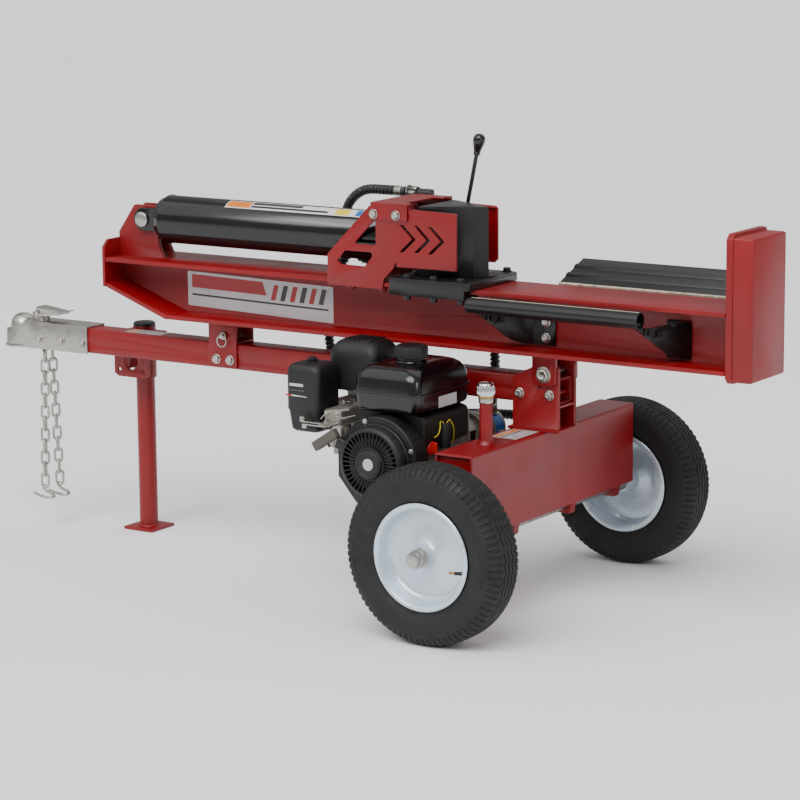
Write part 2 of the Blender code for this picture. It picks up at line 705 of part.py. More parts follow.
def make_chain(side):
    """A safety chain hanging from the coupler's bolt: an eye, welded links and an S-hook."""
    y = side * 0.014
    wide, thick, pitch = 0.0105, 0.0032, 0.0225
    eye = [(CHAIN_X + 0.0110 * math.sin(a), y, CHAIN_Z + 0.0110 * math.cos(a)) for a in turn_steps(10)]
    top = CHAIN_Z - 0.0115
    count = 17
    bm = bmesh.new()
    rings = []
    for k in range(2 * count + 1):
        waist = k % 2 == 0
        facing = (k // 2) % 2 == 0
        across = (thick, thick) if waist else ((thick, wide) if facing else (wide, thick))
        z = top - k * pitch / 2
        corners = ((-1, -1), (1, -1), (1, 1), (-1, 1))
        rings.append([bm.verts.new((CHAIN_X + a * across[0], y + b * across[1], z)) for a, b in corners])
    for upper, lower in zip(rings, rings[1:]):
        for k in range(4):
            bm.faces.new((upper[k], upper[(k + 1) % 4], lower[(k + 1) % 4], lower[k]))
    bm.faces.new(rings[0])
    bm.faces.new(rings[-1])
    chain = solid("chain", bm)
    end = top - count * pitch
    hook = [(CHAIN_X, y, end + 0.004), (CHAIN_X - 0.009, y, end - 0.012), (CHAIN_X + 0.002, y, end - 0.034)]
    hook += [
        (CHAIN_X + 0.013, y, end - 0.056), (CHAIN_X + 0.006, y, end - 0.068),
        (CHAIN_X - 0.007, y, end - 0.066),
    ]
    return join(chain, swept(eye, 0.0034, 5, closed=True), swept(hook, 0.0038, 6))


def make_stand_bracket():
    """The plate bolted to the tongue's far side, with the sleeve that holds the drop leg."""
    x, y = LEG
    near = TONGUE_HALF + GAP
    outline = [
        (-1.275, 0.420), (-1.262, 0.412), (-1.178, 0.412), (-1.165, 0.420), (-1.165, 0.527),
        (-1.275, 0.527),
    ]
    plate = prism(outline, near, near + 0.006)
    cut(
        plate,
        cross_hole(-1.221, 0.453, 0.022),
        cross_hole(-1.259, 0.430, 0.005),
        cross_hole(-1.182, 0.431, 0.005),
    )
    sleeve = rod((x, y, 0.400), (x, y, 0.534), LEG_RADIUS + 0.005)
    shelf = box((-1.275, near + 0.001, 0.5205), (-1.165, y, 0.5265))
    rib = box((x - 0.003, near + 0.001, 0.432), (x + 0.003, y - LEG_RADIUS, 0.5215))
    join(plate, sleeve, shelf, rib)
    cut(plate, rod((x, y, 0.38), (x, y, 0.56), LEG_RADIUS + GAP))
    barrel = rod((x, y - LEG_RADIUS - 0.003, 0.415), (x, y - LEG_RADIUS - 0.016, 0.415), 0.0090)
    join(plate, barrel)
    for bx, bz in ((-1.259, 0.500), (-1.181, 0.500)):
        join(plate, rod((bx, near + 0.005, bz), (bx, near + 0.0115, bz), 0.0095, 6))
    return cut(plate, rod((x, y - 0.06, 0.415), (x, y - 0.01, 0.415), 0.0045 + GAP))


def make_leg():
    """The drop leg, a round tube with a foot plate, a plastic top cap and a drain hole."""
    x, y = LEG
    cap = LEG_RADIUS + 0.0045
    profile = [
        (0.0, 0.5455), (0.022, 0.5455), (cap, 0.541), (cap, 0.5353), (
            LEG_RADIUS, 0.5353,
        ), (LEG_RADIUS, 0.006),
        (LEG_RADIUS - 0.004, 0.006), (LEG_RADIUS - 0.004, 0.530), (0.0, 0.530),
    ]
    tube = turned(profile, (x, y, 0), "Z")
    foot = eased(box((x - 0.046, y - 0.048, 0.0), (x + 0.046, y + 0.048, 0.008)), 0.002)
    join(tube, foot)
    drain = rod((x + LEG_RADIUS - 0.010, y, 0.020), (x + LEG_RADIUS + 0.005, y, 0.020), 0.004)
    return cut(tube, drain)


def make_leg_pin():
    """The clamp screw whose tip bears on the leg and holds it at its height."""
    x, y = LEG
    tip = y - LEG_RADIUS - GAP
    pin = rod((x, tip, 0.415), (x, y - 0.052, 0.415), 0.0045)
    knob = rod((x, y - 0.0405, 0.415), (x, y - 0.050, 0.415), 0.0085)
    return join(pin, knob)


# ---------------------------------------------------------------- beam
def make_beam():
    """The wide-flange beam with its end plate, butt bracket, pivot ears and lock lug."""
    low, high = BEAM_X
    end = low - 0.008
    bottom_end = 0.665
    top_flange = box((low - 0.001, -BEAM_HALF, FLANGE_UNDER), (high, BEAM_HALF, BEAM_TOP))
    bottom_flange = box((-1.016, -BEAM_HALF, BEAM_BOTTOM), (high, BEAM_HALF, BEAM_BOTTOM + FLANGE))
    slant = [
        (-1.016, BEAM_BOTTOM), (-1.010, BEAM_BOTTOM + FLANGE), (low - 0.001, bottom_end + FLANGE),
        (low - 0.001, bottom_end),
    ]
    web = [
        (low - 0.001, bottom_end + 0.005), (-1.014, BEAM_BOTTOM + 0.005), (high, BEAM_BOTTOM + 0.005),
        (high, BEAM_TOP - 0.005), (low - 0.001, BEAM_TOP - 0.005),
    ]
    plate = [
        (-0.092, bottom_end), (0.092, bottom_end), (0.092, 0.764), (0.074, 0.782), (-0.074, 0.782),
        (-0.092, 0.764),
    ]
    parts = [
        bottom_flange,
        prism(slant, -BEAM_HALF, BEAM_HALF),
        prism(web, -WEB_HALF, WEB_HALF),
        prism([(y, z) for y, z in plate], end, low, "X"),
    ]
    lug = [
        (low - 0.004, BEAM_TOP - 0.002), (-1.062, BEAM_TOP - 0.002), (-1.0785, 0.7705), (-1.0785, 0.867),
        (-1.152, 0.867), (low - 0.004, 0.797),
    ]
    parts += [prism(lug, *sorted((s * LUG_IN, s * LUG_OUT))) for s in (-1, 1)]
    px, pz = PIVOT
    ear = [
        (px - 0.0305, BEAM_BOTTOM + 0.002), (px - 0.0305, pz - 0.019), (px - 0.023, pz - 0.026),
        (px + 0.023, pz - 0.026), (px + 0.0305, pz - 0.019), (px + 0.0305, BEAM_BOTTOM + 0.002),
    ]
    parts += [prism(ear, *sorted((s * EAR_IN, s * EAR_OUT))) for s in (-1, 1)]
    fork = [(-0.883, BEAM_BOTTOM + 0.002), (-0.883, 0.553), (-0.8777, 0.553)]
    fork += arc((-0.871, 0.560), LOCK_RADIUS + 0.0007, 180, 0, 8)
    fork += [(-0.8643, 0.553), (-0.859, 0.553), (-0.859, BEAM_BOTTOM + 0.002)]
    parts.append(prism(fork, -0.009, 0.009))
    beam = join(top_flange, *parts)
    holes = [cross_hole(px, pz, PIVOT_RADIUS, 0.07, 24), cross_hole(BUTT_PIN_X, BORE_AXIS_Z, PIN_RADIUS)]
    for x in GUARD_BOLTS:
        holes += [
            rod((x, s * GUARD_BOLT_Y, 0.70), (x, s * GUARD_BOLT_Y, 0.76), 0.006 + GAP) for s in (-1, 1)
        ]
    for x, z in WEB_BOLTS:
        holes.append(rod((x, -0.02, z), (x, 0.02, z), 0.006 + GAP))
    return cut(beam, *holes)


def make_foot():
    """The foot plate at the beam's end, a chamfered plate backed by a folded box that is open below."""
    low, high = FOOT_Z
    chamfer = 0.012
    outline = [
        (-FOOT_HALF + chamfer, low), (FOOT_HALF - chamfer, low), (FOOT_HALF, low + chamfer),
        (FOOT_HALF, high - chamfer), (FOOT_HALF - chamfer, high), (-FOOT_HALF + chamfer, high),
        (-FOOT_HALF, high - chamfer), (-FOOT_HALF, low + chamfer),
    ]
    foot = prism(outline, FOOT_FACE, FOOT_FACE + FOOT_PLATE, "X")
    inset = 0.004
    back = box(
        (FOOT_FACE + FOOT_PLATE - 0.006, -FOOT_HALF + inset, low + inset),
        (FOOT_END, FOOT_HALF - inset, high - inset - 0.004),
    )
    eased(back, 0.006, 2)
    wall = 0.010
    room = box(
        (FOOT_FACE + FOOT_PLATE, -FOOT_HALF + inset + wall, low - 0.010),
        (FOOT_END - wall, FOOT_HALF - inset - wall, high - 0.020),
    )
    return cut(join(foot, back), room)


def make_barrel():
    """The cylinder's barrel with its butt cap, clevis ears and port boss."""
    back, front = BARREL_X
    profile = [
        (0.0, back), (BARREL_RADIUS - 0.006, back), (BARREL_RADIUS - 0.004, back + 0.012), (
            BARREL_RADIUS + 0.0015, back + 0.018,
        ),
        (
            BARREL_RADIUS + 0.0015, back + 0.026,
        ), (BARREL_RADIUS, back + 0.030), (BARREL_RADIUS, front), (BORE_RADIUS, front),
        (BORE_RADIUS, back + 0.025), (0.0, back + 0.025),
    ]
    barrel = turned(profile, (0, 0, BORE_AXIS_Z), "X", 20)
    arms = []
    for side in (-1, 1):
        outline = [(back + 0.004, BORE_AXIS_Z - 0.028)] + [(back + 0.004, BORE_AXIS_Z + 0.028)]
        outline += arc((BUTT_PIN_X, BORE_AXIS_Z), 0.028, 90, 270, 12)
        a, b = sorted((side * (LUG_OUT + GAP + 0.0005), side * (LUG_OUT + 0.0150)))
        arms.append(prism(outline, a, b))
    join(barrel, *arms)
    for x, z in ((VALVE_BOSS_X, 0), (-1.035, 0)):
        low, high = BARREL_RADIUS - 0.006, BARREL_RADIUS + 0.012
        join(barrel, rod((x, low, BORE_AXIS_Z), (x, high, BORE_AXIS_Z), 0.014))
        cut(barrel, rod((x, BORE_RADIUS - 0.005, BORE_AXIS_Z), (x, high + 0.005, BORE_AXIS_Z), 0.006))
    return cut(barrel, cross_hole(BUTT_PIN_X, BORE_AXIS_Z, PIN_RADIUS))


def make_gland():
    """The cylinder's head gland, screwed into the barrel round the rod."""
    front = BARREL_X[1]
    profile = [
        (ROD_RADIUS + GAP, front - 0.040), (
            BORE_RADIUS - GAP, front - 0.040,
        ), (BORE_RADIUS - GAP, front + GAP),
        (BARREL_RADIUS - 0.002, front + GAP), (
            BARREL_RADIUS - 0.002, front + 0.008,
        ), (0.040, front + 0.012), (ROD_RADIUS + GAP, front + 0.012),
    ]
    return turned(profile, (0, 0, BORE_AXIS_Z), "X", 20)


def make_butt_pin():
    """The clevis pin of the cylinder's butt end, with its castle nut."""
    x, z = BUTT_PIN_X, BORE_AXIS_Z
    pin = rod((x, -0.0465, z), (x, 0.0525, z), PIN_RADIUS)
    head = rod((x, -0.0490, z), (x, -0.0420, z), 0.0190)
    nut = rod((x, 0.0425, z), (x, 0.0500, z), 0.0190, 6)
    return join(pin, head, nut)


def guard_outline(points, cuts):
    """A guard plate's outline on the near side, less its windows."""
    plate = prism(points, -GUARD_OUT, -GUARD_IN)
    for window in cuts:
        cut(plate, prism(window, -GUARD_OUT - 0.01, -GUARD_IN + 0.01))
    return plate


def chevron(tip):
    """A chevron window whose point is at tip along the beam."""
    mid, rise, back, stroke = 0.8464, 0.032, 0.035, 0.011
    return [
        (tip, mid), (tip - back, mid + rise), (tip - back - stroke, mid + rise), (tip - stroke, mid),
        (tip - back - stroke, mid - rise), (tip - back, mid - rise),
    ]


def make_guard_near():
    """The near side guard: a pierced plate with folded lips and a foot bolted under the flange."""
    outline = [
        (-0.520, 0.7240), (-0.519, 0.796), (
            -0.3985, 0.9175,
        ), (-0.164, 0.912), (-0.158, 0.906), (-0.158, 0.785),
        (
            -0.1635, 0.7810,
        ), (-0.3217, 0.7780), (-0.326, 0.789), (-0.3320, 0.7745), (-0.3597, 0.7465), (-0.3635, 0.7240),
    ]
    lower = [
        (-0.469, 0.8076), (-0.396, 0.808), (-0.3915, 0.8040), (-0.3930, 0.7956), (-0.4134, 0.7728),
        (-0.481, 0.7737), (-0.491, 0.782),
    ]
    triangle = [
        (-0.384, 0.886), (-0.381, 0.883), (-0.381, 0.828), (-0.384, 0.825), (-0.438, 0.825),
        (-0.440, 0.829),
    ]
    guard = guard_outline(outline, [triangle, lower] + [chevron(tip) for tip in (-0.269, -0.229, -0.190)])
    lip_in = -0.0820
    top_lip = [(-0.289, 0.9090), (-0.289, 0.9147), (-0.164, 0.9120), (-0.160, 0.9070)]
    join(
        guard,
        prism(top_lip, -GUARD_IN - 0.001, lip_in),
        box((-0.3200, -GUARD_IN - 0.001, 0.7785), (-0.1620, lip_in, 0.7830)),
        box((-0.520, -GUARD_OUT + 0.0002, FLANGE_UNDER - 0.0055), (-0.3635, -0.052, FLANGE_UNDER - GAP)),
    )
    for x in GUARD_BOLTS:
        y = -GUARD_BOLT_Y
        shank = rod((x, y, 0.711), (x, y, BEAM_TOP + 0.003), 0.006)
        head = rod((x, y, BEAM_TOP + GAP), (x, y, BEAM_TOP + 0.0075), 0.0095, 6)
        nut = rod((x, y, 0.7135), (x, y, FLANGE_UNDER - 0.005), 0.0095, 6)
        join(guard, shank, head, nut)
    for x in BRIDGE_BOLTS:
        cut(guard, cross_hole(x, 0.900, 0.006, 0.12))
    return guard


def mirrored(obj):
    """A copy of a piece on the other side of the beam's middle plane."""
    mesh = obj.data.copy()
    mesh.transform(Matrix.Scale(-1, 4, (0, 1, 0)))
    mesh.flip_normals()
    copy = bpy.data.objects.new("copy", mesh)
    bpy.context.collection.objects.link(copy)
    return copy


def make_guard_far(near):
    """The far guard, the near one's mirror image with a round hole for the valve's front port."""
    far = mirrored(near)
    hole = rod(
        (VALVE_BOSS_X, GUARD_IN - 0.01, BORE_AXIS_Z), (VALVE_BOSS_X, GUARD_OUT + 0.01, BORE_AXIS_Z),
        PORT_RADIUS + 0.001,
    )
    return cut(far, hole)


def make_bridge():
    """The plate over the guards, folded down outside both and bolted to them."""
    left, mid, right = -0.398, -0.317, -0.290
    inside = GUARD_OUT + GAP
    plan = [
        (left, -BRIDGE_OUT), (
            right, -BRIDGE_OUT,
        ), (right, -0.088), (-0.296, -0.070), (mid, -0.058), (mid, 0.058),
        (-0.296, 0.070), (right, 0.088), (right, BRIDGE_OUT), (left, BRIDGE_OUT),
    ]
    bridge = prism(plan, 0.9215, 0.9265, "Z")
    for side in (-1, 1):
        a, b = sorted((side * inside, side * BRIDGE_OUT))
        join(bridge, box((left, a, 0.887), (right, b, 0.9225)))
        relief = sorted((side * 0.0885, side * (BRIDGE_OUT + 0.002)))
        cut(bridge, box((left - 0.002, relief[0], 0.9175), (left + 0.006, relief[1], 0.930)))
        for x in BRIDGE_BOLTS:
            shank = rod(
                (x, side * (GUARD_IN - 0.006), 0.900), (x, side * (BRIDGE_OUT + 0.002), 0.900), 0.006,
            )
            head = rod(
                (x, side * (BRIDGE_OUT - 0.001), 0.900), (x, side * (BRIDGE_OUT + 0.0065), 0.900), 0.0088,
                6,
            )
            washer = rod(
                (x, side * (BRIDGE_OUT - 0.001), 0.900), (x, side * (BRIDGE_OUT + 0.0018), 0.900), 0.0112,
            )
            nut = rod(
                (x, side * (GUARD_IN - GAP), 0.900), (x, side * (GUARD_IN - 0.0065), 0.900), 0.0088, 6,
            )
            join(bridge, shank, head, washer, nut)
    return bridge


def make_valve():
    """The control valve on the far guard: a cast body, its ports, spool eye and the pipe elbow above."""
    x0, x1 = VALVE_X
    y0, y1 = VALVE_Y
    z0, z1 = VALVE_Z
    y = VALVE_MID_Y
    body = eased(box((x0, 0.1035, z0), (x1, y1, z1)), 0.004)
    boss = rod(
        (VALVE_BOSS_X, BARREL_RADIUS + 0.012 + GAP, BORE_AXIS_Z), (VALVE_BOSS_X, 0.106, BORE_AXIS_Z),
        PORT_RADIUS,
    )
    pads = [rod((x, GUARD_OUT + GAP, z), (x, 0.106, z), 0.010) for x, z in ((-0.345, 0.812), (-0.345, 0.858))]
    spool = rod((x1 - 0.01, y, 0.838), (x1 + 0.009, y, 0.838), 0.007)
    cheek_low, cheek_high = y - 0.0125, y + 0.0125
    cheeks = [
        box((x1 - 0.004, cheek_low - 0.004, 0.820), (LEVER_PIVOT[0] + 0.008, cheek_low, 0.852)),
        box((x1 - 0.004, cheek_high, 0.820), (LEVER_PIVOT[0] + 0.008, cheek_high + 0.004, 0.852)),
    ]
    cap = rod((x0 + 0.004, y, 0.838), (x0 - 0.036, y, 0.838), 0.0165)
    cap_end = rod((x0 - 0.030, y, 0.838), (x0 - 0.040, y, 0.838), 0.0115, 6)
    relief = rod((-0.330, y, z1 - 0.004), (-0.330, y, z1 + 0.018), 0.010, 6)
    top_port = rod((-0.375, y, z1 - 0.004), (-0.375, y, z1 + 0.022), 0.0135, 6)
    riser = rod((-0.375, y, z1 + 0.010), (-0.375, y, 0.926), 0.0095)
    elbow = rod((-0.375 + 0.0095, y, 0.926), (-0.440, y, 0.926), 0.0095)
    elbow_nut = rod((-0.405, y, 0.926), (-0.432, y, 0.926), 0.0135, 6)
    back_port = rod((-0.415, y1 - 0.004, 0.838), (-0.415, y1 + 0.020, 0.838), 0.0125, 6)
    back_elbow = swept(
        [
            (-0.415, y1 + 0.012, 0.838), (-0.415, y1 + 0.030, 0.838), (-0.424, y1 + 0.039, 0.838),
            (-0.455, y1 + 0.039, 0.838),
        ], 0.0095, 16
    )
    return join(
        body, boss, *pads, spool, *cheeks, cap, cap_end, relief, top_port, riser, elbow, elbow_nut,
        back_port, back_elbow,
    )


def make_lever():
    """The control lever on its pivot pin, with a pear-shaped knob."""
    x, z = LEVER_PIVOT
    y = VALVE_MID_Y
    eye = prism(arc((x, z), 0.009, 0, 360, 20)[:-1], y - 0.006, y + 0.006)
    tall = LEVER_KNOB_Z - 0.024 - z
    top = (x + tall * math.tan(LEVER_LEAN), y, z + tall)
    pin = rod((x, y - 0.0122, z), (x, y + 0.0122, z), 0.0035)
    stem = rod((x, y, z + 0.004), top, 0.0050)
    lever = join(eye, pin, stem)
    along = Vector((math.sin(LEVER_LEAN), 0, math.cos(LEVER_LEAN)))
    profile = [
        (0.0, 0.0), (0.0085, 0.0), (0.0080, 0.008), (0.0130, 0.024), (0.0150, 0.034), (0.0130, 0.044),
        (0.0075, 0.0500), (0.0, 0.0515),
    ]
    knob = turned(profile, (0, 0, 0), "Z")
    base = Vector(top) - along * 0.004
    knob.data.transform(Matrix.Translation(base) @ Matrix.Rotation(LEVER_LEAN, 4, "Y"))
    return join(lever, knob)


def make_butt_tube():
    """The steel oil pipe from the valve to the cylinder's butt port, along the far side of the barrel."""
    x = -1.035
    y0 = BARREL_RADIUS + 0.012 + GAP
    route = [
        (x, y0, BORE_AXIS_Z), (x, y0 + 0.012, BORE_AXIS_Z), (
            x + 0.006, y0 + 0.022, BORE_AXIS_Z,
        ), (x + 0.022, y0 + 0.027, BORE_AXIS_Z),
        (x + 0.05, y0 + 0.028, BORE_AXIS_Z), (-0.560, y0 + 0.028, BORE_AXIS_Z), (
            -0.530, y0 + 0.028, BORE_AXIS_Z + 0.004,
        ),
    ]
    end = (VALVE_X[0] - 0.0405, VALVE_MID_Y, 0.838)
    route += [(-0.512, 0.112, 0.843), (-0.500, 0.124, 0.8395), (end[0] - 0.006, *end[1:])]
    tube = swept(smooth_route(route[:5], 0.012) + smooth_route(route[5:], 0.012) + [end], TUBE_RADIUS, 8)
    nut = rod((x, y0, BORE_AXIS_Z), (x, y0 + 0.012, BORE_AXIS_Z), 0.0115, 6)
    return join(tube, nut)


# ---------------------------------------------------------------- log cradle and log table
def wing_frame(fold_x):
    """The frame of a near bracket's wing: outwards along it, across it, and up."""
    turn = Matrix.Rotation(math.radians(270 - WING_LEAN), 4, "Z")
    return Matrix.Translation((fold_x, -WEB_HALF - GAP - WING_THICK / 2, 0)) @ turn


def make_cradle_bracket(fold_x, inward):
    """A folded bracket: a flange bolted to the near face of the web and a wing out to the bar."""
    face = -WEB_HALF - GAP
    ends = sorted((fold_x, fold_x + inward * 0.060))
    flange = box((ends[0], face - WING_THICK, 0.612), (ends[1], face, 0.6965))
    bottom = [(0.0, 0.612), (0.030, 0.6155), (0.060, 0.626), (0.088, 0.644), (0.112, 0.664), (0.128, 0.674)]
    wing = prism(
        bottom + [(0.128, 0.692), (0.062, 0.6965), (0.048, 0.688), (0.034, 0.6965), (0.0, 0.6965)],
        -WING_THICK / 2, WING_THICK / 2,
    )
    wing.data.transform(wing_frame(fold_x))
    bracket = join(flange, wing)
    for s, z in TAB_BOLTS:
        hole = rod((s, -0.02, z), (s, 0.02, z), 0.005 + GAP)
        hole.data.transform(wing_frame(fold_x))
        cut(bracket, hole)
    for x, z in WEB_BOLTS:
        if ends[0] < x < ends[1]:
            shank = rod((x, face - 0.008, z), (x, 0.020, z), 0.006)
            head = rod((x, face - WING_THICK + 0.0005, z), (x, face - WING_THICK - 0.007, z), 0.0095, 6)
            nut = rod((x, -face + TABLE_FLANGE + GAP, z), (x, -face + TABLE_FLANGE + 0.008, z), 0.0095, 6)
            join(bracket, shank, head, nut)
    return bracket


def make_cradle_bar():
    """The near log bar, a capped tube with two tabs bolted to the wings."""
    low, high = BAR_X
    inner = BAR_RADIUS - 0.003
    profile = [
        (0.0, low), (0.010, low), (0.016, low + 0.003), (BAR_RADIUS, low + 0.010), (BAR_RADIUS, high),
        (inner, high), (inner, low + 0.012), (0.0, low + 0.006),
    ]
    bar = turned(profile, (0, -BAR_OUT, BAR_Z), "X")
    over = WING_THICK / 2 + GAP
    tab_outline = [
        (0.080, 0.666), (0.100, 0.6645), (0.126, 0.676), (0.152, 0.694), (0.158, 0.706), (0.140, 0.707),
        (0.130, 0.6935), (0.080, 0.690),
    ]
    for fold_x in WING_X:
        tab = prism(tab_outline, -over - 0.005, -over)
        for s, z in TAB_BOLTS:
            shank = rod((s, -over - 0.007, z), (s, over + 0.005, z), 0.005)
            head = rod((s, -over - 0.0045, z), (s, -over - 0.0110, z), 0.0080, 6)
            nut = rod((s, over, z), (s, over + 0.0065, z), 0.0080, 6)
            join(tab, shank, head, nut)
        tab.data.transform(wing_frame(fold_x))
        join(bar, tab)
    return bar


def make_log_table():
    """The far log table, a tilted plate with two pressed ribs on two brackets from the web."""
    lean = math.radians(TABLE_LEAN)
    section = [
        (0, 0), (0.034, 0), (0.038, 0.004), (0.050, 0.004), (0.054, 0), (0.076, 0), (0.080, 0.004),
        (0.092, 0.004), (0.096, 0), (0.126, 0),
    ]
    outline = section + [(s, h + 0.004) for s, h in reversed(section)]
    turned_outline = [
        (
            TABLE_START[0] + s * math.cos(lean) - h * math.sin(lean),
            TABLE_START[1] + s * math.sin(lean) + h * math.cos(lean),
        )
        for s, h in outline
    ]
    table = prism(turned_outline, *TABLE_X, "X")
    under = [(0.132, 0.7340), (0.222, 0.7695), (0.222, 0.7590), (0.075, 0.6230), (0.010, 0.612)]
    face = WEB_HALF + GAP
    arm = [(face, 0.612), (face, 0.6965), (0.122, 0.6965)] + under
    for low, high, wing in (
        (WING_X[0], WING_X[0] + 0.060, WING_X[0] + 0.055),
        (WING_X[1] - 0.060, WING_X[1], WING_X[1] - 0.060),
    ):
        flange = box((low, face, 0.612), (high, face + TABLE_FLANGE, 0.6965))
        join(table, flange, prism(arm, wing, wing + 0.005, "X"))
    for x, z in WEB_BOLTS:
        cut(table, rod((x, 0.0, z), (x, 0.03, z), 0.006 + GAP))
    return table


# ---------------------------------------------------------------- ram: rod, wedge and slide


def make_rod():
    """The chromed piston rod with its piston, bored for the wedge's pin."""
    back = BARREL_X[0] + 0.030
    profile = [
        (0.0, back), (0.030, back), (
            BORE_RADIUS - GAP, back + 0.004,
        ), (BORE_RADIUS - GAP, back + 0.036), (0.040, back + 0.040),
        (ROD_RADIUS, back + 0.040), (ROD_RADIUS, -0.243), (0.019, -0.240), (0.0, -0.240),
    ]
    shaft = turned(profile, (0, 0, BORE_AXIS_Z), "X", 20)
    return cut(shaft, cross_hole(ROD_PIN_X, BORE_AXIS_Z, ROD_PIN_RADIUS))


def make_wedge():
    """The splitting wedge: a bevelled edge flaring back to a hollow body with lugs for the rod's pin."""
    back, tip = WEDGE_X
    base = SLIDE_TOP + GAP
    plan = [
        (tip, 0.0), (tip - 0.031, 0.017), (back, WEDGE_HALF), (back, -WEDGE_HALF), (tip - 0.031, -0.017),
    ]
    wedge = prism(plan, base, WEDGE_TOP, "Z")
    wall = 0.011
    room = [
        (tip - 0.075, 0.022), (back - 0.01, WEDGE_HALF - wall + 0.0045),
        (back - 0.01, -WEDGE_HALF + wall - 0.0045), (tip - 0.075, -0.022),
    ]
    cut(wedge, prism(room, base + 0.010, WEDGE_TOP - 0.010, "Z"))
    for side in (-1, 1):
        a, b = sorted((side * 0.0245, side * 0.0365))
        join(wedge, box((back, a, base + 0.009), (back + 0.038, b, WEDGE_TOP - 0.009)))
    return cut(wedge, cross_hole(ROD_PIN_X, BORE_AXIS_Z, ROD_PIN_RADIUS, 0.05))


def make_rod_pin():
    """The pin that joins the rod to the wedge."""
    reach = 0.0365 + 0.006
    pin = rod((ROD_PIN_X, -reach, BORE_AXIS_Z), (ROD_PIN_X, reach, BORE_AXIS_Z), ROD_PIN_RADIUS)
    head = rod((ROD_PIN_X, -reach, BORE_AXIS_Z), (ROD_PIN_X, -0.0370, BORE_AXIS_Z), 0.0135)
    return join(pin, head)


def make_slide():
    """The slide plate, its side bars and the gibs that hold it under the beam's flange, bolted through."""
    back, front = SLIDE_X
    half = SLIDE_HALF
    plan = [
        (back, -half), (front - 0.004, -half), (front, -half + 0.004), (front, half - 0.018),
        (front - 0.014, half), (back, half),
    ]
    slide = prism(plan, SLIDE_BOTTOM, SLIDE_TOP, "Z")
    for side in (-1, 1):
        a, b = sorted((side * (BEAM_HALF + 0.0005), side * half))
        bar = box((back, a, FLANGE_UNDER - GAP - 0.002), (front - 0.014, b, SLIDE_BOTTOM + 0.001))
        a, b = sorted((side * 0.055, side * half))
        gib = box((back, a, FLANGE_UNDER - GAP - GIB_THICK), (front - 0.014, b, FLANGE_UNDER - GAP))
        join(slide, bar, gib)
        for x in (-0.288, -0.215, -0.141):
            y = side * 0.103
            head = rod((x, y, SLIDE_TOP - 0.001), (x, y, SLIDE_TOP + 0.009), 0.0095, 6)
            nut = rod((x, y, FLANGE_UNDER - GAP - GIB_THICK + 0.001), (x, y, 0.7045), 0.0090, 6)
            join(slide, head, nut)
    return slide


# ---------------------------------------------------------------- engine and pump
def make_mount_plate():
    """The folded plate on the tank's front that carries the engine."""
    high_x = TANK_X[0] - GAP
    top = ENGINE_BASE - GAP
    plate = box((-0.302, -0.288, top - 0.030), (high_x, 0.100, top))
    cut(plate, box((-0.296, -0.282, top - 0.04), (high_x + 0.01, 0.094, top - 0.006)))
    back = box((high_x - 0.006, -0.284, top - 0.020), (high_x, 0.096, 0.310))
    bolts = []
    for x, y in ((-0.277, -0.255), (-0.277, -0.085), (-0.118, -0.255), (-0.118, -0.085)):
        bolts.append(rod((x, y, top - 0.012), (x, y, top - 0.005), 0.0095, 6))
    return join(plate, back, *bolts)


def make_block():
    """The engine's crankcase with its feet, finned barrel and head, rocker cover and tank posts."""
    low_y, high_y = -0.284, -0.060
    block = eased(box((-0.292, low_y, ENGINE_BASE + 0.008), (-0.140, high_y, 0.452)), 0.012, 2)
    feet = [
        box((x0, y0, ENGINE_BASE), (x1, y0 + 0.040, ENGINE_BASE + 0.012))
        for x0, x1 in ((-0.298, -0.256), (-0.160, -0.100))
        for y0 in (-0.275, -0.105)
    ]
    barrel = box((-0.395, -0.212, 0.345), (-0.285, -0.088, 0.470))
    grooves = [box((x, -0.23, 0.33), (x + 0.006, -0.195, 0.49)) for x in (-0.382, -0.362, -0.342)]
    grooves += [box((x, -0.105, 0.33), (x + 0.006, -0.08, 0.49)) for x in (-0.382, -0.362, -0.342)]
    cut(barrel, *grooves)
    head = eased(box((-0.428, -0.2135, 0.342), (-0.394, -0.086, 0.474)), 0.003)
    rocker = eased(box((-0.452, -0.200, 0.352), (-0.426, -0.100, 0.464)), 0.010, 2)
    cover = turned(
        [(0.0, -0.065), (0.070, -0.065), (0.070, -0.0600), (0.056, -0.0575), (0.0, -0.0575)],
        (CRANK_X, 0, CRANK_Z), "Y",
    )
    posts = [
        box((x - 0.008, y - 0.010, 0.448), (x + 0.008, y + 0.010, FUEL_Z[0] - GAP))
        for x in (-0.270, -0.155)
        for y in (-0.250, -0.110)
    ]
    stack = box((-0.400, -0.190, 0.465), (-0.345, -0.125, MUFFLER_Z[0] - GAP))
    igniter = rod((-0.121, -0.205, 0.392), (-0.121, -0.205, 0.446), 0.0125)
    igniter_arm = box((-0.145, -0.212, 0.405), (-0.124, -0.198, 0.425))
    join(block, *feet, barrel, head, rocker, cover, *posts, stack, igniter, igniter_arm)
    room = box((-0.284, low_y + 0.008, ENGINE_BASE + 0.018), (-0.148, -0.070, 0.444))
    bore = rod((CRANK_X, -0.30, CRANK_Z), (CRANK_X, -0.04, CRANK_Z), CRANK_RADIUS + GAP, 20)
    x, y, z = DIPSTICK
    oil_hole = rod((x - 0.03, y, z), (x + 0.02, y, z), 0.0100)
    return cut(block, room, bore, oil_hole)


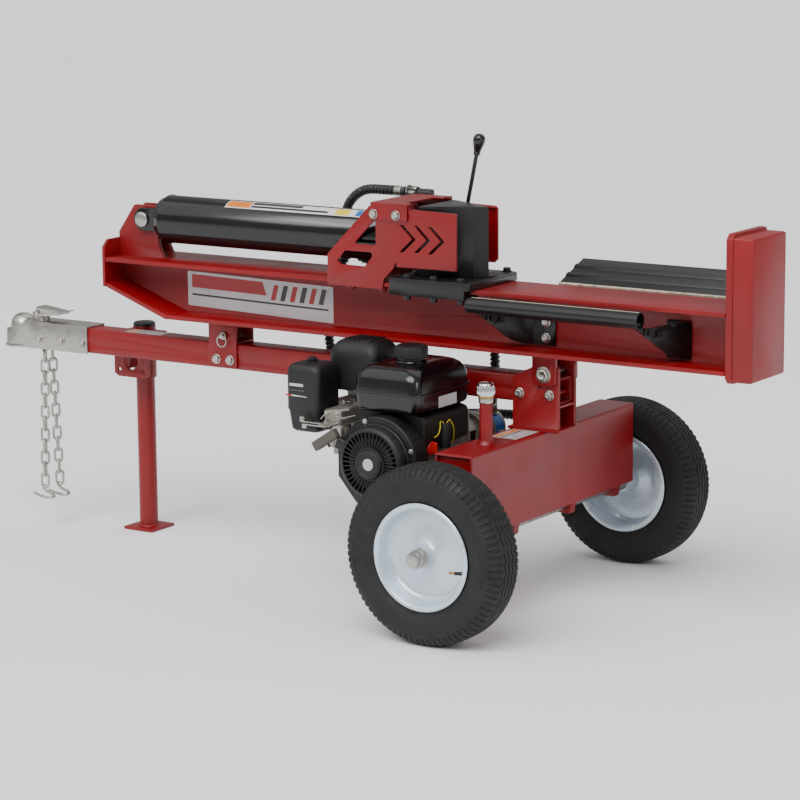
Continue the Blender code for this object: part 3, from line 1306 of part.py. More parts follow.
def make_crankshaft():
    """The crankshaft with its flywheel at the recoil end and the flexible coupling at the pump end."""
    where = (CRANK_X, 0, CRANK_Z)
    profile = [
        (0.0, -0.341), (
            0.010, -0.341,
        ), (0.010, -0.334), (0.045, -0.332), (0.088, -0.326), (0.088, -0.304), (0.030, -0.302),
        (0.022, -0.2875), (CRANK_RADIUS, -0.2875), (CRANK_RADIUS, -0.200), (0.045, -0.200), (0.045, -0.140),
        (CRANK_RADIUS, -0.140), (CRANK_RADIUS, -0.045), (0.026, -0.045), (0.026, 0.015), (0.0, 0.015),
    ]
    return turned(profile, where, "Y", 20)


def make_blower():
    """The engine's blower housing, a shell open at the back round the flywheel."""
    x, z = CRANK
    outline = arc((x, z), 0.104, -52, 150, 14) + [
        (x - 0.110, z + 0.030), (x - 0.110, z - 0.045), (x - 0.060, z - 0.104), (x + 0.040, z - 0.104),
    ]
    inner = arc((x, z), 0.1015, -52, 150, 14) + [
        (x - 0.1075, z + 0.028), (x - 0.1075, z - 0.044), (x - 0.059, z - 0.1015), (x + 0.039, z - 0.1015),
    ]
    shell = prism(outline, -0.345, -0.2890)
    cut(shell, prism(inner, -0.3425, -0.28), rod((x, -0.36, z), (x, -0.33, z), 0.052))
    return shell


def make_recoil_cover():
    """The recoil starter's dished cover, vented, with a rope guide on its rim."""
    where = (CRANK_X, 0, CRANK_Z)
    face = RECOIL_Y
    profile = [
        (0.088, face), (0.088, face - 0.002), (
            0.0845, face - 0.004,
        ), (0.082, face - 0.026), (0.076, face - 0.0315), (0.036, face - 0.0325),
        (
            0.032, face - 0.0395,
        ), (0.0, face - 0.0395), (0.0, face - 0.0365), (0.029, face - 0.0365), (0.032, face - 0.0300),
        (0.0745, face - 0.029), (0.0795, face - 0.024), (0.082, face),
    ]
    cover = turned(profile, where, "Y", 20)
    x, z = CRANK
    vents = []
    for k in range(8):
        a = math.radians(45 * k + 10)
        mid = Vector((x + 0.062 * math.cos(a), 0, z + 0.062 * math.sin(a)))
        slot = box((-0.009, face - 0.05, -0.003), (0.009, face - 0.02, 0.003))
        slot.data.transform(Matrix.Translation(mid) @ Matrix.Rotation(-a, 4, "Y"))
        vents.append(slot)
    cut(cover, *vents)
    a = math.radians(158)
    guide = box((-0.008, face - 0.024, -0.014), (0.022, face - 0.006, 0.014))
    guide.data.transform(
        Matrix.Translation(
            (x + 0.084 * math.cos(a), 0, z + 0.084 * math.sin(a))
        ) @ Matrix.Rotation(-a, 4, "Y")
    )
    join(cover, guide)
    eye = rod(
        (GRIP[0] + 0.03, GRIP[1] + 0.0015, GRIP[2] - 0.006), (x - 0.05, face - 0.015, z + 0.026), 0.0035,
        12,
    )
    return cut(cover, eye)


def make_pulley():
    """The recoil starter's rope pulley on its boss."""
    face = RECOIL_Y
    profile = [
        (0.0, face - 0.036), (
            0.012, face - 0.036,
        ), (0.012, face - 0.026), (0.060, face - 0.026), (0.060, face - 0.023),
        (
            0.052, face - 0.021,
        ), (0.052, face - 0.013), (0.060, face - 0.011), (0.060, face - 0.008), (0.014, face - 0.008),
        (0.012, face - 0.002), (0.0, face - 0.002),
    ]
    return turned(profile, (CRANK_X, 0, CRANK_Z), "Y", 20)


def make_grip():
    """The recoil rope's moulded handle with the short free end of its rope."""
    along = Vector((PULL.z, 0, -PULL.x))
    middle = Vector(GRIP)
    profile = [
        (0.0, -0.036), (0.0085, -0.0355), (0.0125, -0.028), (0.0110, 0.0), (0.0125, 0.028),
        (0.0085, 0.0355), (0.0, 0.036),
    ]
    grip = turned(profile, (0, 0, 0), "Z")
    grip.data.transform(Matrix.Translation(middle) @ along.to_track_quat("Z", "Y").to_matrix().to_4x4())
    boss = rod(middle, middle - PULL * 0.020, 0.0075, 14)
    return join(grip, boss)


def make_fuel_tank():
    """The engine's fuel tank, a pillow-shaped can with a seam lip and a filler hole."""
    x0, x1, y0, y1 = -0.302, -0.115, -0.330, -0.085
    low, high = FUEL_Z
    seam = 0.525
    bottom = eased(box((x0 + 0.004, y0 + 0.004, low), (x1 - 0.004, y1 - 0.004, seam)), 0.016, 2)
    top = eased(
        box((x0 + 0.004, y0 + 0.004, seam - 0.020), (x1 - 0.004, y1 - 0.004, high - 0.006)), 0.022, 3,
    )
    lip = eased(box((x0, y0, seam - 0.0015), (x1, y1, seam + 0.0015)), 0.012)
    x, y = FUEL_CAP
    neck = rod((x, y, high - 0.02), (x, y, high), 0.030)
    tank = join(bottom, top, lip, neck)
    room = eased(
        box((x0 + 0.010, y0 + 0.010, low + 0.005), (x1 - 0.010, y1 - 0.010, high - 0.012)), 0.014, 1,
    )
    return cut(tank, room, rod((x, y, high - 0.04), (x, y, high + 0.01), 0.022))


def make_fuel_cap():
    """The fuel tank's screw cap, its rim ribbed for the hand."""
    x, y = FUEL_CAP
    low = FUEL_Z[1] + GAP
    profile = [
        (0.0, low - 0.012), (
            0.0205, low - 0.012,
        ), (0.0205, low), (0.036, low), (0.0395, low + 0.003), (0.0395, low + 0.022),
        (0.036, low + 0.0275), (0.024, low + 0.0290), (0.0, low + 0.0290),
    ]
    cap = turned(profile, (x, y, 0), "Z")
    flutes = [
        rod(
            (x + 0.0413 * math.cos(a), y + 0.0413 * math.sin(a), low - 0.001),
            (x + 0.0413 * math.cos(a), y + 0.0413 * math.sin(a), low + 0.022), 0.003, 4,
        )
        for a in turn_steps(12)
    ]
    return cut(cap, *flutes)


def make_air_cleaner():
    """The air cleaner's case with its lid and wing knob."""
    x0, x1, y0, y1 = -0.491, -0.398, -0.315, -0.220
    base = eased(box((x0 + 0.004, y0 + 0.004, 0.417), (x1 - 0.004, y1 - 0.004, 0.470)), 0.008, 1)
    lid = eased(box((x0, y0, 0.466), (x1, y1, 0.568)), 0.016, 2)
    knob = turned(
        [(0.0, 0.565), (0.012, 0.565), (0.013, 0.580), (0.0, 0.583)], ((x0 + x1) / 2, (y0 + y1) / 2, 0),
        "Z",
    )
    return join(base, lid, knob)


def make_muffler():
    """The muffler's pierced heat guard, open underneath."""
    x0, x1, y0, y1 = -0.440, -0.306, -0.215, -0.100
    low, high = MUFFLER_Z
    r = 0.030
    outline = [(x0, low), (x1, low)] + arc((x1 - r, high - r), r, 0, 90, 5) + arc(
        (x0 + r, high - r), r, 90, 180, 5,
    )
    guard = prism(outline, y0, y1)
    t = 0.0025
    inside = [
        (x0 + t, low - 0.01), (x1 - t, low - 0.01),
    ] + arc((x1 - r, high - r), r - t, 0, 90, 5) + arc((x0 + r, high - r), r - t, 90, 180, 5)
    cut(guard, prism(inside, y0 + t, y1 - t))
    slots = [
        box((x, y0 + 0.014, high - 0.02), (x + 0.006, y1 - 0.014, high + 0.01))
        for x in (-0.400, -0.384, -0.368, -0.352)
    ]
    slots += [
        box((x0 - 0.01, y0 + 0.014, z), (x0 + 0.01, y1 - 0.014, z + 0.006)) for z in (0.520, 0.537, 0.554)
    ]
    cut(guard, *slots)
    can = eased(
        box((x0 + 0.012, y0 + 0.010, low + 0.0005), (x1 - 0.012, y1 - 0.010, high - 0.016)), 0.016, 1,
    )
    tail = rod((x0 + 0.020, -0.120, 0.548), (x0 + 0.020, y1 + 0.012, 0.548), 0.011)
    cut(can, rod((x0 + 0.020, -0.140, 0.548), (x0 + 0.020, y1 + 0.02, 0.548), 0.009))
    cut(tail, rod((x0 + 0.020, -0.130, 0.548), (x0 + 0.020, y1 + 0.02, 0.548), 0.009))
    join(guard, can, tail)
    stay = box((x0 + 0.001, -0.170, low + 0.002), (x0 + 0.016, -0.145, low + 0.006))
    return join(guard, stay)


def make_carburetor():
    """The carburettor with its float bowl and the shelf and pin of the two control levers."""
    body = eased(box((-0.392, -0.302, 0.430), (-0.345, -0.214, 0.468)), 0.004)
    bowl = rod((-0.368, -0.268, 0.392), (-0.368, -0.268, 0.434), 0.0185)
    bolt = rod((-0.368, -0.268, 0.386), (-0.368, -0.268, 0.394), 0.006, 6)
    shelf = box((-0.386, -0.338, 0.4345), (-0.350, -0.298, 0.4375))
    pin = rod((-0.372, -0.325, 0.4255), (-0.372, -0.325, 0.4465), 0.003, 12)
    horn = rod((-0.3975, -0.268, 0.449), (-0.388, -0.268, 0.449), 0.015)
    return join(body, bowl, bolt, shelf, pin, horn)


def make_engine_lever(low, high, reach, drop):
    """A flat control lever on the shelf's pin with a bent finger tab."""
    x, y = -0.372, -0.325
    plan = [(x - reach, y - 0.005), (x, y - 0.008), (x + 0.008, y), (x, y + 0.008), (x - reach, y + 0.003)]
    arm = prism(plan, low, high, "Z")
    tab = box(
        (x - reach - 0.002, y - 0.005, min(low, low + drop)),
        (x - reach + 0.010, y + 0.003, max(high, high + drop)),
    )
    join(arm, tab)
    return cut(arm, rod((x, y, 0.40), (x, y, 0.46), 0.003 + GAP, 12))


def make_dipstick():
    """The oil filler's cap with its dipping tongue."""
    x, y, z = DIPSTICK
    face = -0.140 + GAP
    profile = [
        (0.0, face - 0.022), (0.0088, face - 0.022), (0.0088, face), (0.0155, face), (0.0165, face + 0.005),
        (0.0150, face + 0.020), (0.0, face + 0.022),
    ]
    cap = turned(profile, (0, y, z), "X")
    wing = box((face + 0.018, y - 0.003, z - 0.014), (face + 0.030, y + 0.003, z + 0.014))
    return join(cap, wing)


def make_bell():
    """The bell housing between the crankcase and the pump, with a window over the coupling."""
    y0, y1 = -0.0575 + GAP, PUMP_Y[0]
    profile = [
        (0.034, y0), (0.066, y0), (
            0.066, y0 + 0.010,
        ), (0.046, y0 + 0.014), (0.042, y1 - 0.012), (0.052, y1 - 0.010), (0.052, y1), (0.034, y1),
    ]
    bell = turned(profile, (CRANK_X, 0, CRANK_Z), "Y")
    return cut(
        bell, box((CRANK_X + 0.02, -0.030, CRANK_Z - 0.016), (CRANK_X + 0.07, 0.022, CRANK_Z + 0.016)),
    )


def make_pump():
    """The two-stage gear pump with its shaft, outlet on top and inlet towards the tank."""
    y0, y1 = PUMP_Y[0] + GAP, PUMP_Y[1]
    body = turned(
        [
            (0.0, 0.0155), (0.010, 0.0155), (0.010, y0 - 0.012), (0.0335, y0 - 0.010), (0.0335, y0),
            (0.052, y0), (0.052, y0 + 0.012), (0.045, y0 + 0.014), (0.045, y1 - 0.004), (0.041, y1),
            (0.0, y1),
        ],
        (CRANK_X, 0, CRANK_Z), "Y",
    )
    outlet = rod((*PUMP_OUT[:2], CRANK_Z + 0.02), PUMP_OUT, 0.0135, 6)
    inlet = rod((CRANK_X + 0.02, PUMP_IN[1], PUMP_IN[2]), PUMP_IN, 0.0165, 6)
    return join(body, outlet, inlet)


def tank_ports(tank):
    """The two hose stubs on the tank's front."""
    for x, y, z in (TANK_SUCTION, TANK_RETURN):
        join(tank, rod((x, y, z), (TANK_X[0] + 0.003, y, z), 0.0135, 6))
        cut(tank, rod((x - 0.01, y, z), (TANK_X[0] + 0.015, y, z), 0.006, 12))
    return tank


# ---------------------------------------------------------------- hoses
def hose(route, radius):
    """A hose along a smooth curve through the route's points, with a straight stub at each end."""
    even = [Vector(route[0])] + smooth_route(route[1:-1], 4.5 * radius) + [Vector(route[-1])]
    curve = bpy.data.curves.new("hose", "CURVE")
    curve.dimensions = "3D"
    curve.bevel_depth = radius
    curve.bevel_resolution = 2
    curve.use_fill_caps = True
    line = curve.splines.new("POLY")
    line.points.add(len(even) - 1)
    for point, where in zip(line.points, even):
        point.co = (*where, 1)
    tube = bpy.data.objects.new("hose", curve)
    bpy.context.collection.objects.link(tube)
    mesh = bpy.data.meshes.new_from_object(tube.evaluated_get(bpy.context.evaluated_depsgraph_get()))
    bpy.data.objects.remove(tube)
    bm = bmesh.new()
    bm.from_mesh(mesh)
    return solid("hose", bm)


def make_pressure_hose():
    """Pump to valve: up behind the beam, back along it and over into the elbow on the valve."""
    x, y, z = PUMP_OUT
    centre, r = (-0.535, 0.836), 0.090
    loop = [
        (
            centre[0] + r * math.cos(math.radians(a)), VALVE_MID_Y + 0.004,
            centre[1] + r * math.sin(math.radians(a)),
        )
        for a in (-75, -120, -165, -210, -250)
    ]
    route = [
        (x, y, z + GAP), (x, y, z + 0.015), (x + 0.005, y + 0.003, 0.54), (x - 0.018, y + 0.016, 0.630),
        (x - 0.095, y + 0.028, 0.692), (-0.400, 0.148, 0.728),
    ]
    route += loop + [
        (-0.490, VALVE_MID_Y, 0.926), (PRESSURE_END[0] - 0.012, *PRESSURE_END[1:]), PRESSURE_END,
    ]
    return hose(route, HOSE_RADIUS)


def make_return_hose():
    """Valve to tank: back, down past the tongue and forward again to the tank's front."""
    x, y, z = RETURN_START
    end = TANK_RETURN
    route = [
        (x, y, z), (x - 0.012, y, z), (
            -0.560, 0.182, 0.826,
        ), (-0.632, 0.158, 0.758), (-0.668, 0.137, 0.660), (-0.673, 0.130, 0.560),
        (
            -0.650, 0.132, 0.470,
        ), (-0.585, 0.140, 0.405), (-0.490, 0.155, 0.376), (-0.390, 0.176, 0.374), (-0.290, 0.196, 0.384),
        (-0.197, 0.206, 0.389), (-0.120, 0.213, 0.387), (
            end[0] - 0.012, end[1], end[2],
        ), (end[0] - GAP, end[1], end[2]),
    ]
    return hose(route, HOSE_RADIUS)


def make_suction_hose():
    """The short suction hose from the tank's front to the pump."""
    a, b = Vector(PUMP_IN), Vector(TANK_SUCTION)
    route = [
        a + Vector((GAP, 0, 0)), a + Vector((0.010, 0, 0)), a.lerp(b, 0.35) + Vector((0.004, 0, 0.006)),
        a.lerp(b, 0.65) - Vector((0.004, 0, 0.006)), b - Vector((0.010, 0, 0)), b - Vector((GAP, 0, 0)),
    ]
    return hose(route, 0.0125)


def main():
    for obj in list(bpy.data.objects):
        bpy.data.objects.remove(obj)
    EMPTIES.update(make_bodies())

    keep(tank_ports(make_tank()), "oil_tank", RED)
    keep(make_axle(), "axle_shaft", STEEL)
    keep(make_filler_neck(), "filler_neck", RED)
    keep(make_breather(), "breather_cap", CHROME, "breather")
    keep(make_upright(), "upright_frame", RED)
    keep(make_tongue(), "tongue_tube", RED)
    keep(make_pivot_bolt(), "tilt_pivot_bolt", ZINC)
    keep(make_rest_bracket(), "beam_rest_bracket", RED)
    keep(make_lock_pin(), "beam_lock_pin", ZINC, "lock_pin")
    for side, name in ((-1, "near"), (1, "far")):
        tyre, rim = make_wheel(side)
        keep(tyre, name + "_tyre", RUBBER, name + "_wheel")
        keep(rim, name + "_rim", WHITE, name + "_wheel")

    keep(make_coupler(), "coupler_body", ZINC)
    keep(make_latch(), "coupler_latch", ZINC, "latch")
    keep(make_chain(-1), "safety_chain_near", ZINC, "chain_near")
    keep(make_chain(1), "safety_chain_far", ZINC, "chain_far")
    keep(make_stand_bracket(), "stand_bracket", RED)
    keep(make_leg(), "stand_leg", RED, "leg")
    keep(make_leg_pin(), "stand_pin", ZINC, "leg_pin")

    keep(make_beam(), "beam", RED, "beam_assembly")
    keep(make_foot(), "foot_plate", RED, "beam_assembly")
    guard = make_guard_near()
    keep(make_guard_far(guard), "guard_far", RED, "beam_assembly")
    keep(guard, "guard_near", RED, "beam_assembly")
    keep(make_bridge(), "guard_bridge", RED, "beam_assembly")
    keep(make_barrel(), "cylinder_barrel", BLACK, "beam_assembly")
    keep(make_gland(), "cylinder_gland", BLACK, "beam_assembly")
    keep(make_butt_pin(), "butt_pin", ZINC, "beam_assembly")
    keep(make_valve(), "control_valve", IRON, "beam_assembly")
    keep(make_butt_tube(), "butt_oil_tube", STEEL, "beam_assembly")
    keep(make_cradle_bracket(WING_X[0], 1), "cradle_bracket_left", BLACK, "beam_assembly")
    keep(make_cradle_bracket(WING_X[1], -1), "cradle_bracket_right", BLACK, "beam_assembly")
    keep(make_cradle_bar(), "cradle_bar", BLACK, "beam_assembly")
    keep(make_log_table(), "log_table", BLACK, "beam_assembly")
    keep(make_lever(), "valve_lever", BLACK, "lever")

    keep(make_rod(), "piston_rod", CHROME, "ram")
    keep(make_wedge(), "wedge", BLACK, "ram")
    keep(make_rod_pin(), "rod_pin", STEEL, "ram")
    keep(make_slide(), "slide_plate", BLACK, "ram")

    keep(make_mount_plate(), "engine_mount_plate", RED)
    keep(make_block(), "engine_block", CAST)
    keep(make_crankshaft(), "crankshaft", STEEL, "crank")
    keep(make_blower(), "blower_housing", BLACK)
    keep(make_recoil_cover(), "recoil_cover", BLACK)
    keep(make_pulley(), "starter_pulley", GREY, "pulley")
    keep(make_grip(), "starter_grip", PLASTIC, "grip")
    keep(make_fuel_tank(), "fuel_tank", GLOSS)
    keep(make_fuel_cap(), "fuel_cap", PLASTIC, "fuel_filler")
    keep(make_air_cleaner(), "air_cleaner_cover", PLASTIC)
    keep(make_muffler(), "muffler_guard", PLASTIC)
    keep(make_carburetor(), "carburetor", CAST)
    keep(make_engine_lever(0.4378, 0.4404, 0.066, 0.010), "choke_lever", GREY, "choke")
    keep(make_engine_lever(0.4316, 0.4342, 0.060, -0.008), "throttle_lever", GREY, "throttle")
    keep(make_dipstick(), "dipstick", CAP_RED, "oil_stick")
    keep(make_bell(), "bell_housing", CAST)
    keep(make_pump(), "hydraulic_pump", CAST)

    keep(make_pressure_hose(), "pressure_hose", HOSE, "beam_assembly")
    keep(make_return_hose(), "return_hose", HOSE, "beam_assembly")
    keep(make_suction_hose(), "suction_hose", HOSE)


if __name__ == "__main__":
    main()
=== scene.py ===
import math

import bmesh
import bpy
from mathutils import Matrix, Vector


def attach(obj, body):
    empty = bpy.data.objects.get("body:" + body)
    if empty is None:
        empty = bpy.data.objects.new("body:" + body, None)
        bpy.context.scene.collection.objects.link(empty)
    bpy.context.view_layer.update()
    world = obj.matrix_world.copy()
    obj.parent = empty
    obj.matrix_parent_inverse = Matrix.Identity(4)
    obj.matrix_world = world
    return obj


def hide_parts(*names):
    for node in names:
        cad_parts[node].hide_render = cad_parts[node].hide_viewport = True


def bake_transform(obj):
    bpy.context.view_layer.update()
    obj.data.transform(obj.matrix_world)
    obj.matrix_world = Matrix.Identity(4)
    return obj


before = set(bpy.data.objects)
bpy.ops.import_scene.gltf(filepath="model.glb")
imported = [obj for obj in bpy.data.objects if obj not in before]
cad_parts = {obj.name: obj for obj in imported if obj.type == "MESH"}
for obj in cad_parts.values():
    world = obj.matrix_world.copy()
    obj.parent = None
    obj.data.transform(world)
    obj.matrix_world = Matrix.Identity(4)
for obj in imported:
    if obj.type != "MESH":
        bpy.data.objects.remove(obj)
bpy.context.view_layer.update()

bl_info = {
    "name": "Log splitter",
    "version": (1, 0, 0),
    "blender": (4, 5, 0),
    "location": "View3D > Sidebar > Log splitter",
    "description": "Builds a tow-behind log splitter, one operator for each group of pieces",
    "category": "Object",
}

AXLE_X = 0.4995  # the axle's place in the row frame; lengths below are from the axle
ROUND = 64


# ---------------------------------------------------------------- settings shown in the sidebar
class SplitterSizes(bpy.types.PropertyGroup):
    """Sizes of the visible detail, in metres."""

    edge: bpy.props.FloatProperty(
        name="Edge radius", description="Radius of folded and sawn edges", default=0.0012, unit="LENGTH",
    )
    tread_depth: bpy.props.FloatProperty(
        name="Tread depth", description="Depth of the tyres' grooves", default=0.0048, unit="LENGTH",
    )
    peel: bpy.props.FloatProperty(
        name="Paint texture", description="Width of one ripple of the sprayed paint", default=0.0022,
        unit="LENGTH",
    )
    guard_pitch: bpy.props.FloatProperty(
        name="Hose guard pitch", description="Distance between turns of the hoses' spiral guard",
        default=0.0105, unit="LENGTH",
    )


class SplitterColours(bpy.types.PropertyGroup):
    """Colours of the main finishes, as sRGB hex."""

    red: bpy.props.StringProperty(name="Red enamel", description="Frame, beam and tank", default="7C0007")
    black: bpy.props.StringProperty(
        name="Black enamel", description="Cylinder, wedge and table", default="0A0A0C",
    )
    zinc: bpy.props.StringProperty(name="Zinc plate", description="Coupler and fasteners", default="B4B1AA")
    tyre: bpy.props.StringProperty(name="Tyre rubber", description="Tyres", default="100F10")
    rim: bpy.props.StringProperty(name="Rim enamel", description="Wheel rims", default="C4D2DE")
    plastic: bpy.props.StringProperty(
        name="Engine plastic", description="Air cleaner, caps and covers", default="0C0D10",
    )


def linear(code, alpha=1.0):
    """An sRGB hex colour as the linear values that shaders use."""
    channels = [int(code[i : i + 2], 16) / 255 for i in (0, 2, 4)]
    return (*[c / 12.92 if c <= 0.04045 else ((c + 0.055) / 1.055) ** 2.4 for c in channels], alpha)


def tinted(code, factor):
    """The same hex colour made lighter or darker."""
    return "".join(f"{max(0, min(255, round(int(code[i : i + 2], 16) * factor))):02X}" for i in (0, 2, 4))


# ---------------------------------------------------------------- materials
def add_node(tree, kind, settings=None, links=None):
    """One node of that kind, with its input or property values, and links from other nodes' sockets."""
    made = tree.nodes.new(kind)
    for key, value in (settings or {}).items():
        if isinstance(key, str) and hasattr(made, key) and key not in made.inputs:
            setattr(made, key, value)
        else:
            made.inputs[key].default_value = value
    for key, socket in (links or {}).items():
        tree.links.new(socket, made.inputs[key])
    return made


def finish(
    name, code, roughness, metallic=0.0, grain=0.002, bump=0.05, blotch=0.06, spread=0.08, tone=0.12,
    dust=None, dusting=0.0, coat=0.0, stretch=None,
):
    """A surface with fine grain bump, slow changes of tone and gloss, and dust or scuffs where asked.

    grain is the width of one grain in metres and blotch that of the slow changes; tone and spread are how
    much the colour and the roughness change; dust is the hex colour that shows in patches of that share."""
    found = bpy.data.materials.get(name)
    if found:
        return found
    made = bpy.data.materials.new(name)
    made.use_nodes = True
    tree = made.node_tree
    tree.nodes.clear()
    place = add_node(tree, "ShaderNodeTexCoord").outputs["Object"]
    if stretch:
        place = add_node(tree, "ShaderNodeMapping", {"Scale": stretch}, {"Vector": place}).outputs[0]
    fine = add_node(
        tree, "ShaderNodeTexNoise", {"Scale": 0.5 / grain, "Detail": 4.0, "Roughness": 0.6},
        {"Vector": place},
    )
    slow = add_node(
        tree, "ShaderNodeTexNoise", {"Scale": 0.5 / blotch, "Detail": 6.0, "Roughness": 0.62},
        {"Vector": place},
    )
    shade = add_node(
        tree, "ShaderNodeMapRange", {"From Min": 0.3, "From Max": 0.7, "To Min": 0.0, "To Max": 1.0},
        {"Value": slow.outputs["Fac"]},
    )
    colour = add_node(
        tree, "ShaderNodeMix",
        {"data_type": "RGBA", 6: linear(tinted(code, 1 - tone)), 7: linear(tinted(code, 1 + tone))},
        {0: shade.outputs[0]}
    ).outputs[2]
    gloss = add_node(
        tree, "ShaderNodeMapRange",
        {
            "From Min": 0.3, "From Max": 0.7, "To Min": max(0.02, roughness - spread),
            "To Max": min(1.0, roughness + spread),
        },
        {"Value": slow.outputs["Fac"]}
    ).outputs[0]
    if dust:
        marks = add_node(
            tree, "ShaderNodeTexNoise", {"Scale": 9.0, "Detail": 9.0, "Roughness": 0.72}, {"Vector": place},
        )
        where = add_node(
            tree, "ShaderNodeMapRange",
            {"From Min": 0.52, "From Max": 0.70, "To Min": 0.0, "To Max": dusting},
            {"Value": marks.outputs["Fac"]},
        )
        colour = add_node(
            tree, "ShaderNodeMix", {"data_type": "RGBA", 7: linear(dust)}, {0: where.outputs[0], 6: colour},
        ).outputs[2]
        gloss = add_node(
            tree, "ShaderNodeMath", {"operation": "ADD", "use_clamp": True},
            {0: gloss, 1: where.outputs[0]},
        ).outputs[0]
    relief = add_node(
        tree, "ShaderNodeBump", {"Strength": bump, "Distance": grain}, {"Height": fine.outputs["Fac"]},
    )
    shader = add_node(
        tree,
        "ShaderNodeBsdfPrincipled",
        {"Metallic": metallic, "Coat Weight": coat, "Coat Roughness": 0.12},
        {"Base Color": colour, "Roughness": gloss, "Normal": relief.outputs[0]},
    )
    add_node(tree, "ShaderNodeOutputMaterial", None, {"Surface": shader.outputs[0]})
    return made


